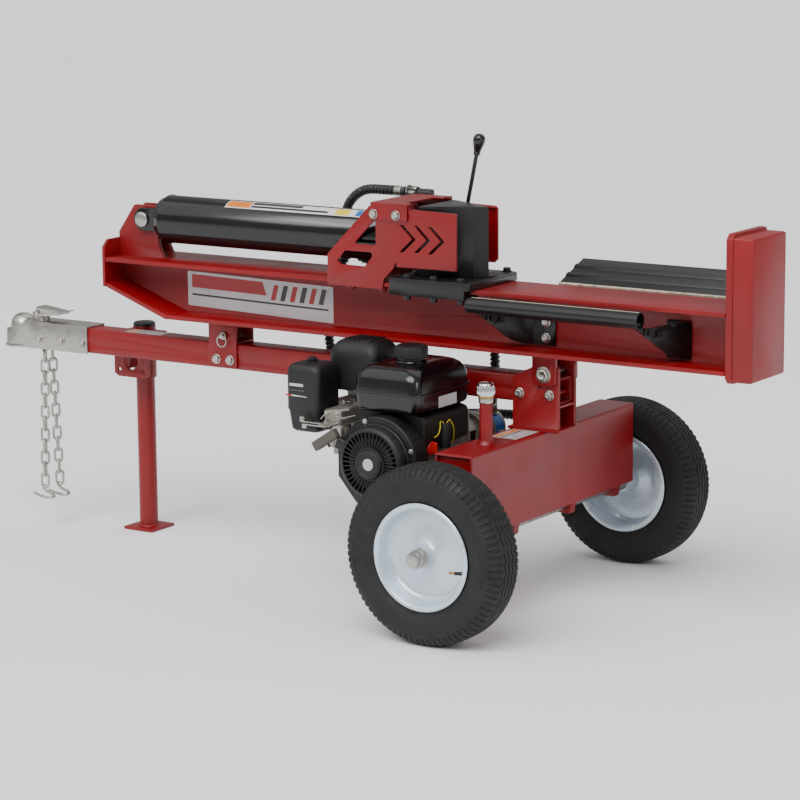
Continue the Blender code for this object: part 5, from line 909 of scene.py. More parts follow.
def make_coupler(looks):
    """The ball coupler, its latch and bolts, and the two safety chains."""
    dressed("coupler_body", looks["zinc"], 0.0008)
    dressed("coupler_latch", looks["zinc"], 0.0006)
    face = 0.03655
    places = [
        ((x, s * face, 0.501), (0, s, 0)) for x in (-1.393, -1.322) for s in (-1, 1)
    ] + [((-1.466, s * face, 0.500), (0, s, 0)) for s in (-1, 1)]
    bolts("coupler_bolt_heads", looks["zinc"], "chassis", places, 0.0098, 0.0090)
    spring = [
        (
            -1.5075 + 0.0062 * math.cos(a), 0.0062 * math.sin(a), 0.5465 + 0.0175 * a / (12 * math.pi),
        ) for a in (math.pi * k / 8 for k in range(97))
    ]
    place(tube("spring", spring, 0.0011, 8), "coupler_spring", looks["steel"], "chassis")
    dome = [
        (0.0, 0.5000), (0.0330, 0.5000), (0.0345, 0.5010), (0.0340, 0.5200), (0.0325, 0.5330),
        (0.0285, 0.5440), (0.0210, 0.5525), (0.0110, 0.5570), (0.0, 0.5580),
    ]
    place(lathe("dome", dome, (-1.5470, 0, 0), "Z", 72), "coupler_ball_cup", looks["zinc"], "chassis")
    lip = [
        (0.0440, 0.4747), (0.0480, 0.4747), (0.0488, 0.4755), (0.0488, 0.4778), (0.0480, 0.4786),
        (0.0440, 0.4786),
    ]
    place(lathe("lip", lip, (-1.5470, 0, 0), "Z", 96), "coupler_rim", looks["zinc"], "chassis")
    make_chain(-1, "chain_near", looks)
    make_chain(1, "chain_far", looks)


# ---------------------------------------------------------------- beam, foot plate and label
def panel(name, outline, y, looks, key):
    """A thin printed panel on the web's near face."""
    return painted(slab(name, outline, y - 0.0002, y, "Y", 0), looks[key])


def make_beam_parts(sizes, looks):
    """The beam and its foot plate."""
    dressed("beam", looks["red"], sizes.edge)
    dressed("foot_plate", looks["red"], sizes.edge)
    face = -0.0042
    base = panel(
        "label", softened([(-1.005, 0.622), (-0.566, 0.611), (-0.566, 0.700), (-1.005, 0.708)], 0.004),
        face, looks, "label",
    )
    pieces = [base]
    pieces.append(
        panel(
            "band", [(-0.992, 0.668), (-0.764, 0.664), (-0.776, 0.697), (-0.992, 0.701)], face - 0.0002,
            looks, "print",
        ),
    )
    pieces.append(
        panel(
            "rule", [(-0.992, 0.648), (-0.580, 0.640), (-0.580, 0.6445), (-0.992, 0.6530)], face - 0.0002,
            looks, "ink",
        ),
    )
    for k in range(6):
        x = -0.752 + 0.0285 * k
        pieces.append(
            panel(
                "bar", [(x, 0.654), (x + 0.014, 0.6535), (x + 0.025, 0.692), (x + 0.011, 0.6925)],
                face - 0.0002, looks, "ink" if k % 2 else "print",
            ),
        )
    place(united(*pieces), "beam_web_label", None, "beam_assembly")


def make_guards(looks):
    """The side guards and their bridge, with the bolts that hold them."""
    for node in ("guard_near", "guard_far", "guard_bridge"):
        dressed(node, looks["red"], 0.0010)
    places = [((x, s * 0.0998, 0.900), (0, s, 0)) for x in (-0.383, -0.321) for s in (-1, 1)]
    bolts("bridge_bolt_heads", looks["zinc"], "beam_assembly", places, 0.0096, 0.0078)
    places = [((x, s * 0.072, 0.7381), (0, 0, 1)) for x in (-0.465, -0.376) for s in (-1, 1)]
    bolts("guard_foot_bolt_heads", looks["zinc"], "beam_assembly", places, 0.0102, 0.0082)


# ---------------------------------------------------------------- hydraulic cylinder
def make_cylinder(looks):
    """The hydraulic cylinder: barrel, gland, rod and butt pin."""
    z, back, front, r = 0.834, -1.075, -0.345, 0.0595
    shell = [
        (0.0, back), (0.0505, back), (0.0530, back + 0.002), (0.0545, back + 0.012),
        (0.0575, back + 0.0155), (0.0608, back + 0.0180), (0.0612, back + 0.0215),
        (0.0605, back + 0.0250), (r, back + 0.0290), (r, front - 0.0015), (r - 0.0015, front),
        (0.0510, front), (0.0510, back + 0.030), (0.0, back + 0.030),
    ]
    barrel = lathe("barrel", shell, (0, 0, z), "X", 128)
    arms = []
    for s in (-1, 1):
        low, high = sorted((s * 0.0268, s * 0.0410))
        outline = [
            (back + 0.004, z - 0.028), (back + 0.004, z + 0.028),
        ] + arc((-1.115, z), 0.028, 90, 270, 24)
        arms.append(slab("arm", outline, low, high, "Y", 0.0012))
    ports = []
    for x in (-0.405, -1.035):
        ports.append(
            lathe(
                "port",
                [
                    (0.0, 0.050), (0.0165, 0.052), (0.0165, 0.0600), (0.0140, 0.0640), (0.0140, 0.0705),
                    (0.0130, 0.0715), (0.0, 0.0715),
                ],
                (x, 0, z), "Y", 40,
            ),
        )
    place(
        united(barrel, *arms, *ports), "cylinder_barrel_tube", looks["gloss"], "beam_assembly",
        "cylinder_barrel",
    )
    gland = [
        (0.0223, front - 0.030), (0.0500, front - 0.030), (0.0500, front + 0.0003),
        (0.0570, front + 0.0003), (0.0575, front + 0.0010), (0.0575, front + 0.0070),
        (0.0560, front + 0.0085), (0.0420, front + 0.0085), (0.0400, front + 0.0120),
        (0.0260, front + 0.0120), (0.0245, front + 0.0105), (0.0223, front + 0.0105),
    ]
    ring = lathe("gland", gland, (0, 0, z), "X", 96)
    place(ring, "cylinder_gland_ring", looks["black"], "beam_assembly", "cylinder_gland")
    shaft = [
        (0.0, -1.045), (0.0500, -1.045), (0.0500, -1.010), (0.0220, -1.005), (0.0220, -0.2445),
        (0.0205, -0.2405), (0.0, -0.2405),
    ]
    place(
        lathe("shaft", shaft, (0, 0, z), "X", 72), "piston_rod_shaft", looks["chrome"], "ram", "piston_rod",
    )
    pin = lathe(
        "pin",
        [
            (0.0, -0.0495), (0.0175, -0.0495), (0.0188, -0.0482), (0.0188, -0.0425), (0.0125, -0.0420),
            (0.0125, 0.0510), (0.0112, 0.0524), (0.0, 0.0524),
        ],
        (-1.115, 0, z), "Y", 48,
    )
    nut = hexagon("nut", (-1.115, 0.0415, z), (0, 1, 0), 0.0190, 0.0090)
    place(united(pin, nut), "butt_pin_turned", looks["zinc"], "beam_assembly", "butt_pin")
    band(-0.862, -0.439, 50, 80, "barrel_label", looks["white"])
    band(-0.858, -0.790, 53, 77, "barrel_label_orange", looks["orange"], 0.0003)
    band(-0.786, -0.640, 66, 77, "barrel_label_ink", looks["ink"], 0.0003)
    band(-0.786, -0.560, 55, 62, "barrel_label_ink_low", looks["ink"], 0.0003)
    band(-0.540, -0.500, 53, 77, "barrel_label_yellow", looks["yellow"], 0.0003)
    band(-0.480, -0.443, 53, 77, "barrel_label_blue", looks["blue"], 0.0003)


def band(low, high, start, end, name, made, proud=0.0):
    """A printed band on the barrel, between two angles up from its near side."""
    bm = bmesh.new()
    steps = 16
    rows = []
    for r in (0.05955 + proud, 0.05985 + proud):
        for x in (low, high):
            angles = [math.radians(start + (end - start) * k / steps) for k in range(steps + 1)]
            rows.append([bm.verts.new((x, -r * math.cos(a), 0.834 + r * math.sin(a))) for a in angles])
    for a, b in ((0, 1), (1, 3), (3, 2), (2, 0)):
        for k in range(steps):
            bm.faces.new((rows[a][k], rows[a][k + 1], rows[b][k + 1], rows[b][k]))
    for k in (0, steps):
        bm.faces.new((rows[0][k], rows[1][k], rows[3][k], rows[2][k]))
    return place(from_bmesh(name, bm), name, made, "beam_assembly")


# ---------------------------------------------------------------- wedge and slide
def make_wedge(looks):
    """The wedge on its slide plate."""
    dressed("wedge", looks["black"], 0.0010)
    dressed("slide_plate", looks["black"], 0.0012)
    dressed("rod_pin", looks["zinc"], 0.0005)
    places = [((x, s * 0.103, 0.756), (0, 0, 1)) for x in (-0.288, -0.215, -0.141) for s in (-1, 1)]
    bolts("slide_bolt_heads", looks["scuffed"], "ram", places, 0.0102, 0.0098)
    tip, base, top = -0.128, 0.7563, 0.9215
    for s in (-1, 1):
        edge = [
            (tip + 0.0002, 0.0), (tip - 0.0310, s * 0.0172), (tip - 0.0270, s * 0.0152),
            (tip - 0.004, s * 0.0021),
        ]
        strip = slab("edge", edge if s > 0 else list(reversed(edge)), base + 0.001, top - 0.001, "Z", 0)
        place(strip, "wedge_edge_" + ("far" if s > 0 else "near"), looks["scuffed"], "ram")
    for s in (-1, 1):
        outline = [(-0.326, s * 0.066), (-0.126, s * 0.066), (-0.126, s * 0.094), (-0.326, s * 0.094)]
        worn = slab("worn", softened(outline, 0.006), 0.7561, 0.75635, "Z", 0)
        place(worn, "slide_worn_" + ("far" if s > 0 else "near"), looks["scuffed"], "ram")


# ---------------------------------------------------------------- log bar and log table
def make_cradle(looks):
    """The log table and the bar with its brackets."""
    y, z, r = -0.142, 0.713, 0.0185
    low, high = -0.100, 0.352
    outline = [
        (0.0, low), (0.0105, low), (0.0145, low + 0.0012), (0.0172, low + 0.0042), (0.0183, low + 0.0085),
        (r, low + 0.013), (r, high - 0.0008), (r - 0.0008, high), (r - 0.0030, high),
        (r - 0.0030, low + 0.03), (0.0, low + 0.03),
    ]
    place(lathe("bar", outline, (0, y, z), "X", 72), "cradle_bar_tube", looks["black"], "beam_assembly")
    # painted highlight: a light cream strip along the bar's top, standing in for the reflection that lies
    # along a glossy tube
    strip = []
    bm = bmesh.new()
    steps = 10
    for radius in (r + 0.0001, r + 0.0004):
        for x in (low + 0.014, high - 0.004):
            angles = [math.radians(82 + 46 * k / steps) for k in range(steps + 1)]
            strip.append(
                [bm.verts.new((x, y - radius * math.cos(a), z + radius * math.sin(a))) for a in angles],
            )
    for a, b in ((0, 1), (1, 3), (3, 2), (2, 0)):
        for k in range(steps):
            bm.faces.new((strip[a][k], strip[a][k + 1], strip[b][k + 1], strip[b][k]))
    for k in (0, steps):
        bm.faces.new((strip[0][k], strip[1][k], strip[3][k], strip[2][k]))
    place(from_bmesh("worn", bm), "cradle_bar_top_painted_highlight", looks["painted_highlight"], "beam_assembly")
    dressed("cradle_bar", looks["black"], 0.0)
    for node in ("cradle_bracket_left", "cradle_bracket_right", "log_table"):
        dressed(node, looks["black"], 0.0010)
    face = -0.0093
    places = [((x, face, zz), (0, -1, 0)) for x in (0.032, 0.372) for zz in (0.665, 0.628)]
    places += [((x, 0.0093, zz), (0, 1, 0)) for x in (0.032, 0.372) for zz in (0.665, 0.628)]
    bolts("web_bolt_heads", looks["zinc"], "beam_assembly", places, 0.0102, 0.0085)
    lean = math.radians(25)
    out = Vector((-math.sin(lean), -math.cos(lean), 0))
    across = Vector((math.cos(lean), -math.sin(lean), 0))
    heads = []
    for fold_x in (-0.003, 0.407):
        for s, zz in ((0.092, 0.678), (0.115, 0.6815)):
            foot = Vector((fold_x, -0.0068, zz)) + out * s
            heads.append((foot - across * 0.0078, tuple(-across)))
    bolts("tab_bolt_heads", looks["zinc"], "beam_assembly", heads, 0.0086, 0.0062)
    # painted highlight: a light cream band over the log table's near edge, standing in for the light that an
    # edge catches
    start, tilt = Vector((0.128, 0.7310)), math.radians(21)
    normal = Vector((-math.sin(tilt), math.cos(tilt)))
    along = Vector((math.cos(tilt), math.sin(tilt)))
    lip = [
        start + along * 0.0002 - normal * 0.0002, start + along * 0.0002 + normal * 0.0043,
        start + along * 0.0062 + normal * 0.0043, start + along * 0.0062 + normal * 0.0040,
        start - along * 0.0003 + normal * 0.0040, start - along * 0.0003 - normal * 0.0002,
    ]
    edge = slab("edge", [tuple(p) for p in lip], -0.0138, 0.4558, "X", 0)
    place(edge, "log_table_edge_painted_highlight", looks["painted_highlight"], "beam_assembly")


# ---------------------------------------------------------------- engine
def round_rectangle(x0, x1, y0, y1, r, z, steps=8):
    """Points of a rectangle with rounded corners at that height."""
    points = []
    for cx, cy, start in (
        (x1 - r, y1 - r, 0), (x0 + r, y1 - r, 90), (x0 + r, y0 + r, 180), (x1 - r, y0 + r, 270),
    ):
        points += [(u, v, z) for u, v in arc((cx, cy), r, start, start + 90, steps)]
    return points


def loft(name, box, rings):
    """A closed shell over rounded rectangles: (height, inset, corner radius) each, within box."""
    x0, x1, y0, y1 = box
    bm = bmesh.new()
    rows = [
        [
            bm.verts.new(p) for p in round_rectangle(x0 + inset, x1 - inset, y0 + inset, y1 - inset, r, z)
        ] for z,
        inset, r in rings
    ]
    for a, b in zip(rows, rows[1:]):
        for k in range(len(a)):
            n = (k + 1) % len(a)
            bm.faces.new((a[k], a[n], b[n], b[k]))
    bm.faces.new(rows[0])
    bm.faces.new(rows[-1])
    return from_bmesh(name, bm)


CRANK = (-0.215, 0.370)


def make_blower(looks):
    """The cast blower housing round the flywheel, with ribs on its rim and three of its screws."""
    x, z = CRANK
    outline = arc((x, z), 0.104, -52, 150, 56) + [
        (x - 0.110, z + 0.030), (x - 0.110, z - 0.045), (x - 0.060, z - 0.104), (x + 0.040, z - 0.104),
    ]
    shell = slab("shell", outline, -0.3435, -0.2890, "Y", 0.0030, 4)
    rings = []
    for r, deep in ((0.1000, 0.0011), (0.0935, 0.0011)):
        rings.append(tube("ring", [(px, -0.3438, pz) for px, pz in arc((x, z), r, -40, 140, 64)], deep, 10))
    ribs = []
    for k in range(22):
        a = math.radians(-46 + 8.8 * k)
        mid = Vector((x + 0.1035 * math.cos(a), -0.316, z + 0.1035 * math.sin(a)))
        rib = block("rib", (-0.0030, -0.0225, -0.0012), (0.0018, 0.0225, 0.0012), 0.0007, 2)
        rib.data.transform(
            Matrix.Translation((AXLE_X, 0, 0)) @ Matrix.Translation(mid) @ Matrix.Rotation(-a, 4, "Y") @ Matrix.Translation(
                (-AXLE_X, 0, 0),
            ),
        )
        ribs.append(rib)
    place(
        united(shell, *rings, *ribs), "blower_housing_cast", looks["plastic"], "chassis", "blower_housing",
    )
    places = [
        (
            (x + 0.0965 * math.cos(a), -0.3437, z + 0.0965 * math.sin(a)), (0, -1, 0),
        ) for a in (math.radians(d) for d in (20, 110, 205, 310))
    ]
    bolts("blower_screws", looks["zinc"], "chassis", places[:3], 0.0052, 0.0042)


def make_recoil(looks):
    """The recoil starter's cover: an outer ring and a hub disc joined by radial blades."""
    x, z = CRANK
    face = -0.3455
    where = (x, 0, z)
    ring = lathe(
        "ring",
        [
            (0.0880, face + 0.0008), (0.0880, face - 0.0020), (0.0858, face - 0.0045),
            (0.0838, face - 0.0240), (0.0815, face - 0.0285), (0.0770, face - 0.0315),
            (0.0735, face - 0.0318), (0.0735, face - 0.0288), (0.0765, face - 0.0284),
            (0.0800, face - 0.0235), (0.0815, face - 0.0030), (0.0815, face + 0.0008),
        ],
        where, "Y", 96,
    )
    disc = [
        (0.0, face - 0.0388), (0.0300, face - 0.0388), (0.0325, face - 0.0380), (0.0340, face - 0.0360),
        (0.0360, face - 0.0320), (0.0385, face - 0.0315), (0.0385, face - 0.0290), (0.0, face - 0.0290),
    ]
    hub = lathe("hub", disc, where, "Y", 80)
    lip = lathe(
        "lip",
        [
            (0.0270, face - 0.0387), (0.0285, face - 0.0396), (0.0300, face - 0.0387),
            (0.0300, face - 0.0380), (0.0270, face - 0.0380),
        ],
        where, "Y", 80,
    )
    blades = []
    for k in range(40):
        a = 2 * math.pi * k / 40
        blade = block("blade", (0.0370, face - 0.0318, -0.0013), (0.0750, face - 0.0285, 0.0013), 0.0006, 2)
        blade.data.transform(
            Matrix.Translation(
                (x + AXLE_X, 0, z),
            ) @ Matrix.Rotation(-a, 4, "Y") @ Matrix.Translation((-AXLE_X, 0, 0)),
        )
        blades.append(blade)
    a = math.radians(158)
    guide = block("guide", (-0.008, face - 0.024, -0.014), (0.022, face - 0.004, 0.014), 0.004, 3)
    guide.data.transform(
        Matrix.Translation(
            (x + 0.084 * math.cos(a) + AXLE_X, 0, z + 0.084 * math.sin(a)),
        ) @ Matrix.Rotation(-a, 4, "Y") @ Matrix.Translation((-AXLE_X, 0, 0)),
    )
    place(
        united(ring, hub, lip, *blades, guide), "recoil_cover_vented", looks["plastic"], "chassis",
        "recoil_cover",
    )
    dressed("starter_pulley", looks["plastic"], 0.0)
    badge = lathe(
        "badge",
        [
            (0.0, face - 0.0390), (0.0135, face - 0.0390), (0.0140, face - 0.0386), (0.0140, face - 0.0380),
            (0.0, face - 0.0380),
        ],
        where, "Y", 48,
    )
    place(badge, "recoil_hub_badge", looks["label"], "chassis")
    pull = Vector((-0.545, 0.0, 0.839))
    along = Vector((pull.z, 0, -pull.x)).normalized()
    middle = Vector((-0.345, -0.362, 0.411))
    grip = block("grip", (-0.0360, -0.0095, -0.0115), (0.0360, 0.0095, 0.0115), 0.0030, 3)
    turn = Matrix.Rotation(math.atan2(-along.z, along.x), 4, "Y")
    grip.data.transform(
        Matrix.Translation(middle + Vector((AXLE_X, 0, 0))) @ turn @ Matrix.Translation((-AXLE_X, 0, 0)),
    )
    rope = bar("rope", middle - pull * 0.008, middle - pull.normalized() * 0.020, 0.0028, 16)
    place(
        united(painted(grip, looks["grey"]), painted(rope, looks["hose"])), "starter_grip_moulded", None,
        "grip", "starter_grip",
    )


def make_engine_covers(looks):
    """Fuel tank and cap, air cleaner and muffler guard."""
    tank = loft(
        "tank", (-0.302, -0.115, -0.330, -0.085),
        [
            (0.479, 0.0240, 0.010), (0.4800, 0.0150, 0.016), (0.4850, 0.0080, 0.022),
            (0.4940, 0.0045, 0.026), (0.5225, 0.0035, 0.026), (0.5236, 0.0006, 0.028),
            (0.5243, 0.0000, 0.028), (0.5262, 0.0000, 0.028), (0.5270, 0.0006, 0.028),
            (0.5282, 0.0036, 0.026), (0.5540, 0.0056, 0.028), (0.5660, 0.0095, 0.030),
            (0.5760, 0.0170, 0.030), (0.5825, 0.0280, 0.026), (0.5856, 0.0420, 0.020),
            (0.5850, 0.0460, 0.018), (0.5835, 0.0500, 0.014), (0.5835, 0.0700, 0.008),
        ],
    )
    x, y = -0.210, -0.208
    neck = lathe(
        "neck",
        [
            (0.0, 0.5835), (0.0370, 0.5835), (0.0350, 0.5860), (0.0305, 0.5870), (0.0300, 0.5915),
            (0.0, 0.5915),
        ],
        (x, y, 0), "Z", 64,
    )
    place(united(tank, neck), "fuel_tank_pressed", looks["gloss"], "chassis", "fuel_tank")
    low = 0.5923
    cap = lathe(
        "cap",
        [
            (0.0, low), (0.0370, low), (0.0385, low + 0.0012), (0.0390, low + 0.0200),
            (0.0375, low + 0.0250), (0.0340, low + 0.0275), (0.0290, low + 0.0286), (0.0240, low + 0.0276),
            (0.0, low + 0.0272),
        ],
        (x, y, 0), "Z", 96,
    )
    teeth = []
    for k in range(18):
        a = 2 * math.pi * k / 18
        at = (x + 0.0366 * math.cos(a), y + 0.0366 * math.sin(a), 0)
        teeth.append(
            lathe(
                "tooth",
                [
                    (0.0, low + 0.0006), (0.0028, low + 0.0010), (0.0030, low + 0.0200),
                    (0.0022, low + 0.0245), (0.0, low + 0.0262),
                ],
                at, "Z", 12,
            ),
        )
    place(united(cap, *teeth), "fuel_cap_ribbed", looks["plastic"], "fuel_filler", "fuel_cap")
    label = slab(
        "label", [(-0.235, 0.474 + 0.012), (-0.158, 0.474 + 0.012), (-0.158, 0.512), (-0.235, 0.512)],
        -0.11865, -0.11835, "X", 0,
    )
    place(label, "fuel_tank_label", looks["label"], "chassis")
    case = loft(
        "case", (-0.491, -0.398, -0.315, -0.220),
        [
            (0.4075, 0.0220, 0.006), (0.4090, 0.0140, 0.010), (0.4150, 0.0080, 0.012),
            (0.4560, 0.0030, 0.014), (0.4600, 0.0028, 0.014), (0.4606, 0.0006, 0.015),
            (0.4620, 0.0000, 0.016), (0.5480, 0.0000, 0.016), (0.5590, 0.0020, 0.018),
            (0.5650, 0.0060, 0.018), (0.5680, 0.0120, 0.016), (0.5692, 0.0240, 0.012),
        ],
    )
    knob = lathe(
        "knob",
        [
            (0.0, 0.566), (0.0130, 0.566), (0.0120, 0.5680), (0.0070, 0.5695), (0.0068, 0.5720),
            (0.0086, 0.5735), (0.0092, 0.5765), (0.0084, 0.5800), (0.0060, 0.5818), (0.0, 0.5822),
        ],
        (-0.4445, -0.2675, 0), "Z", 40,
    )
    wings = [
        block(
            "wing", (-0.4445 + s * 0.0105 - 0.0040, -0.2690, 0.5700),
            (-0.4445 + s * 0.0105 + 0.0040, -0.2660, 0.5785), 0.0012, 2,
        ) for s in (-1, 1)
    ]
    place(united(case, knob, *wings), "air_cleaner_case", looks["plastic"], "chassis", "air_cleaner_cover")
    front = -0.3151
    bars = [
        (looks["label"], [(-0.478, 0.5170), (-0.440, 0.5170), (-0.440, 0.5235), (-0.478, 0.5235)]),
        (looks["grey"], [(-0.478, 0.5060), (-0.436, 0.5060), (-0.436, 0.5090), (-0.478, 0.5090)]),
        (looks["cap"], [(-0.4895, 0.4930), (-0.471, 0.4930), (-0.474, 0.4970), (-0.4895, 0.4970)]),
        (looks["label"], [(-0.471, 0.4930), (-0.430, 0.4930), (-0.430, 0.4945), (-0.474, 0.4970)]),
    ]
    place(
        united(
            *[painted(slab("bar", outline, front - 0.0002, front, "Y", 0), made) for made, outline in bars],
        ),
        "air_cleaner_stripes", None, "chassis",
    )
    guard = loft(
        "guard", (-0.440, -0.306, -0.215, -0.100),
        [
            (0.4985, 0.0025, 0.016), (0.4985, 0.0000, 0.018), (0.5750, 0.0000, 0.020),
            (0.5880, 0.0010, 0.022), (0.5990, 0.0050, 0.024), (0.6080, 0.0120, 0.024),
            (0.6140, 0.0220, 0.020), (0.6166, 0.0340, 0.012),
        ],
    )
    louvres = [
        block(
            "louvre", (-0.402 + 0.0155 * k, -0.190, 0.6150), (-0.396 + 0.0155 * k, -0.125, 0.6180), 0.0014,
            2,
        ) for k in range(5)
    ]
    place(united(guard, *louvres), "muffler_guard_pressed", looks["plastic"], "chassis", "muffler_guard")
    tail = lathe(
        "tail",
        [
            (0.0085, -0.1010), (0.0108, -0.1010), (0.0112, -0.1000), (0.0112, -0.0895), (0.0104, -0.0885),
            (0.0088, -0.0885), (0.0085, -0.0895),
        ],
        (-0.420, 0, 0.548), "Y", 40,
    )
    place(tail, "muffler_tail", looks["steel"], "chassis")


def make_engine_core(looks):
    """Crankcase and its fittings, carburettor, control levers, oil cap and wiring."""
    dressed("engine_block", looks["cast"], 0.0016, 3)
    dressed("crankshaft", looks["steel"])
    dressed("carburetor", looks["cast"], 0.0010)
    for node in ("choke_lever", "throttle_lever"):
        dressed(node, looks["zinc"], 0.0004)
    shroud = slab(
        "shroud",
        softened(
            [
                (-0.305, 0.398), (-0.123, 0.398), (-0.123, 0.470), (-0.150, 0.4765), (-0.290, 0.4765),
                (-0.305, 0.470),
            ],
            0.010, 5,
        ),
        -0.2890, -0.1000, "Y", 0.0030, 3,
    )
    place(shroud, "cooling_shroud", looks["plastic"], "chassis")
    x, y = -0.121, -0.205
    coil = lathe(
        "coil",
        [
            (0.0, 0.3895), (0.0120, 0.3895), (0.0132, 0.3910), (0.0132, 0.4440), (0.0120, 0.4465),
            (0.0, 0.4468),
        ],
        (x, y, 0), "Z", 40,
    )
    place(coil, "ignition_module", looks["plastic"], "chassis")
    wires = []
    for k, route in enumerate((
        [
            (x, y - 0.004, 0.446), (x - 0.002, y - 0.016, 0.452), (x + 0.006, y - 0.030, 0.440),
            (x + 0.004, y - 0.038, 0.424), (x - 0.010, y - 0.046, 0.414), (-0.138, -0.262, 0.405),
        ],
        [
            (x + 0.003, y + 0.003, 0.446), (x + 0.006, y + 0.012, 0.452), (x + 0.010, y + 0.022, 0.430),
            (x + 0.002, y + 0.030, 0.400), (-0.138, -0.170, 0.388),
        ],
    )):
        wires.append(tube("wire", routed(route, 0.002), 0.0014, 10))
    place(united(*wires), "ignition_wires", looks["wire"], "chassis")
    py, pz = -0.256, 0.396
    cap = lathe(
        "cap",
        [
            (0.0, -0.1395), (0.0158, -0.1395), (0.0166, -0.1385), (0.0166, -0.1245), (0.0155, -0.1225),
            (0.0130, -0.1215), (0.0, -0.1212),
        ],
        (0, py, pz), "X", 48,
    )
    wing = block(
        "wing", (-0.1225, py - 0.0032, pz - 0.0135), (-0.1098, py + 0.0032, pz + 0.0135), 0.0022, 3,
    )
    ribs = []
    for k in range(16):
        a = 2 * math.pi * k / 16
        ribs.append(
            bar(
                "rib", (-0.1388, py + 0.0162 * math.cos(a), pz + 0.0162 * math.sin(a)),
                (-0.1250, py + 0.0162 * math.cos(a), pz + 0.0162 * math.sin(a)), 0.0014, 10,
            ),
        )
    stick = bar("stick", (-0.1395, py, pz), (-0.1612, py, pz), 0.0080, 24)
    place(united(cap, wing, *ribs, stick), "dipstick_cap", looks["cap"], "oil_stick", "dipstick")
    bowl = lathe(
        "bowl",
        [
            (0.0, 0.3895), (0.0080, 0.3895), (0.0150, 0.3925), (0.0182, 0.3980), (0.0188, 0.4040),
            (0.0188, 0.4270), (0.0200, 0.4275), (0.0200, 0.4310), (0.0, 0.4310),
        ],
        (-0.368, -0.268, 0), "Z", 48,
    )
    nut = hexagon("nut", (-0.368, -0.268, 0.3895), (0, 0, -1), 0.0062, 0.0040)
    place(united(bowl, nut), "carburetor_bowl", looks["zinc"], "chassis")
    heads = [
        ((-0.384, -0.3022, z), (0, -1, 0)) for z in (0.438, 0.460)
    ] + [((-0.353, -0.3022, z), (0, -1, 0)) for z in (0.438, 0.460)]
    bolts("carburetor_screws", looks["zinc"], "chassis", heads, 0.0038, 0.0030)
    rods = [
        tube(
            "rod",
            routed(
                [
                    (-0.352, -0.330, 0.4500), (-0.330, -0.334, 0.4560), (-0.306, -0.330, 0.4620),
                    (-0.290, -0.322, 0.4660),
                ],
                0.003,
            ),
            0.0011, 10,
        ),
        tube(
            "rod",
            routed(
                [
                    (-0.386, -0.322, 0.4480), (-0.380, -0.308, 0.4600), (-0.352, -0.300, 0.4690),
                    (-0.322, -0.300, 0.4720),
                ],
                0.003,
            ),
            0.0011, 10,
        ),
    ]
    coil_points = [
        (
            -0.350 + 0.030 * t, -0.318 + 0.0032 * math.cos(22 * math.pi * t),
            0.4560 + 0.0032 * math.sin(22 * math.pi * t),
        ) for t in (k / 220 for k in range(221))
    ]
    rods.append(tube("spring", coil_points, 0.0005, 6))
    place(united(*rods), "governor_linkage", looks["zinc"], "chassis")
    cover = loft(
        "cover", (-0.452, -0.427, -0.200, -0.100),
        [(0.352, 0.006, 0.004), (0.356, 0.002, 0.006), (0.460, 0.002, 0.006), (0.464, 0.006, 0.004)],
    )
    place(cover, "rocker_cover", looks["cast"], "chassis")
    places = [((-0.140, yy, zz), (1, 0, 0)) for yy in (-0.272, -0.120) for zz in (0.300, 0.372)]
    bolts("crankcase_screws", looks["zinc"], "chassis", places, 0.0062, 0.0050)
    places = [
        ((xx, yy, 0.2745), (0, 0, 1)) for xx,
        yy in ((-0.277, -0.255), (-0.277, -0.085), (-0.118, -0.255), (-0.118, -0.085))
    ]
    bolts("engine_foot_bolts", looks["zinc"], "chassis", places, 0.0095, 0.0080)


# ---------------------------------------------------------------- pump, valve, lever and hoses
def make_pump(looks):
    """The bell housing and the pump behind it."""
    x, z = CRANK
    flange = slab(
        "flange",
        softened(
            [
                (x - 0.056, z - 0.056), (x + 0.056, z - 0.056), (x + 0.056, z + 0.056),
                (x - 0.056, z + 0.056),
            ],
            0.014, 5,
        ),
        -0.0570, -0.0460, "Y", 0.0015,
    )
    dressed("bell_housing", looks["cast"], 0.0008)
    place(flange, "bell_flange", looks["cast"], "chassis")
    places = [((x + a, -0.0460, z + b), (0, 1, 0)) for a in (-0.046, 0.046) for b in (-0.046, 0.046)]
    bolts("bell_screws", looks["zinc"], "chassis", places, 0.0062, 0.0052)
    body = lathe(
        "body",
        [
            (0.0, 0.0160), (0.0100, 0.0160), (0.0100, 0.0335), (0.0335, 0.0355), (0.0335, 0.0453),
            (0.0508, 0.0453), (0.0520, 0.0462), (0.0520, 0.0565), (0.0505, 0.0580), (0.0455, 0.0595),
            (0.0450, 0.0660), (0.0450, 0.0900), (0.0462, 0.0905), (0.0462, 0.0925), (0.0450, 0.0930),
            (0.0450, 0.1440), (0.0435, 0.1480), (0.0400, 0.1498), (0.0, 0.1500),
        ],
        (x, 0, z), "Y", 80,
    )
    outlet = hexagon("outlet", (-0.195, 0.125, z + 0.0360), (0, 0, 1), 0.0135, 0.0255)
    inlet = hexagon("inlet", (x + 0.0350, 0.115, 0.355), (1, 0, 0), 0.0165, 0.0295)
    place(
        united(painted(body, looks["cast"]), painted(outlet, looks["zinc"]), painted(inlet, looks["zinc"])),
        "hydraulic_pump_body", None, "chassis", "hydraulic_pump",
    )
    places = [
        (
            (x + 0.034 * math.cos(a), 0.1496, z + 0.034 * math.sin(a)), (0, 1, 0),
        ) for a in (math.radians(d) for d in (45, 135, 225, 315))
    ]
    bolts("pump_screws", looks["zinc"], "chassis", places, 0.0052, 0.0002)
    sticker = lathe(
        "sticker", [(0.0451, 0.100), (0.0454, 0.100), (0.0454, 0.136), (0.0451, 0.136)], (x, 0, z), "Y", 80,
    )
    place(sticker, "pump_label", looks["blue"], "chassis")


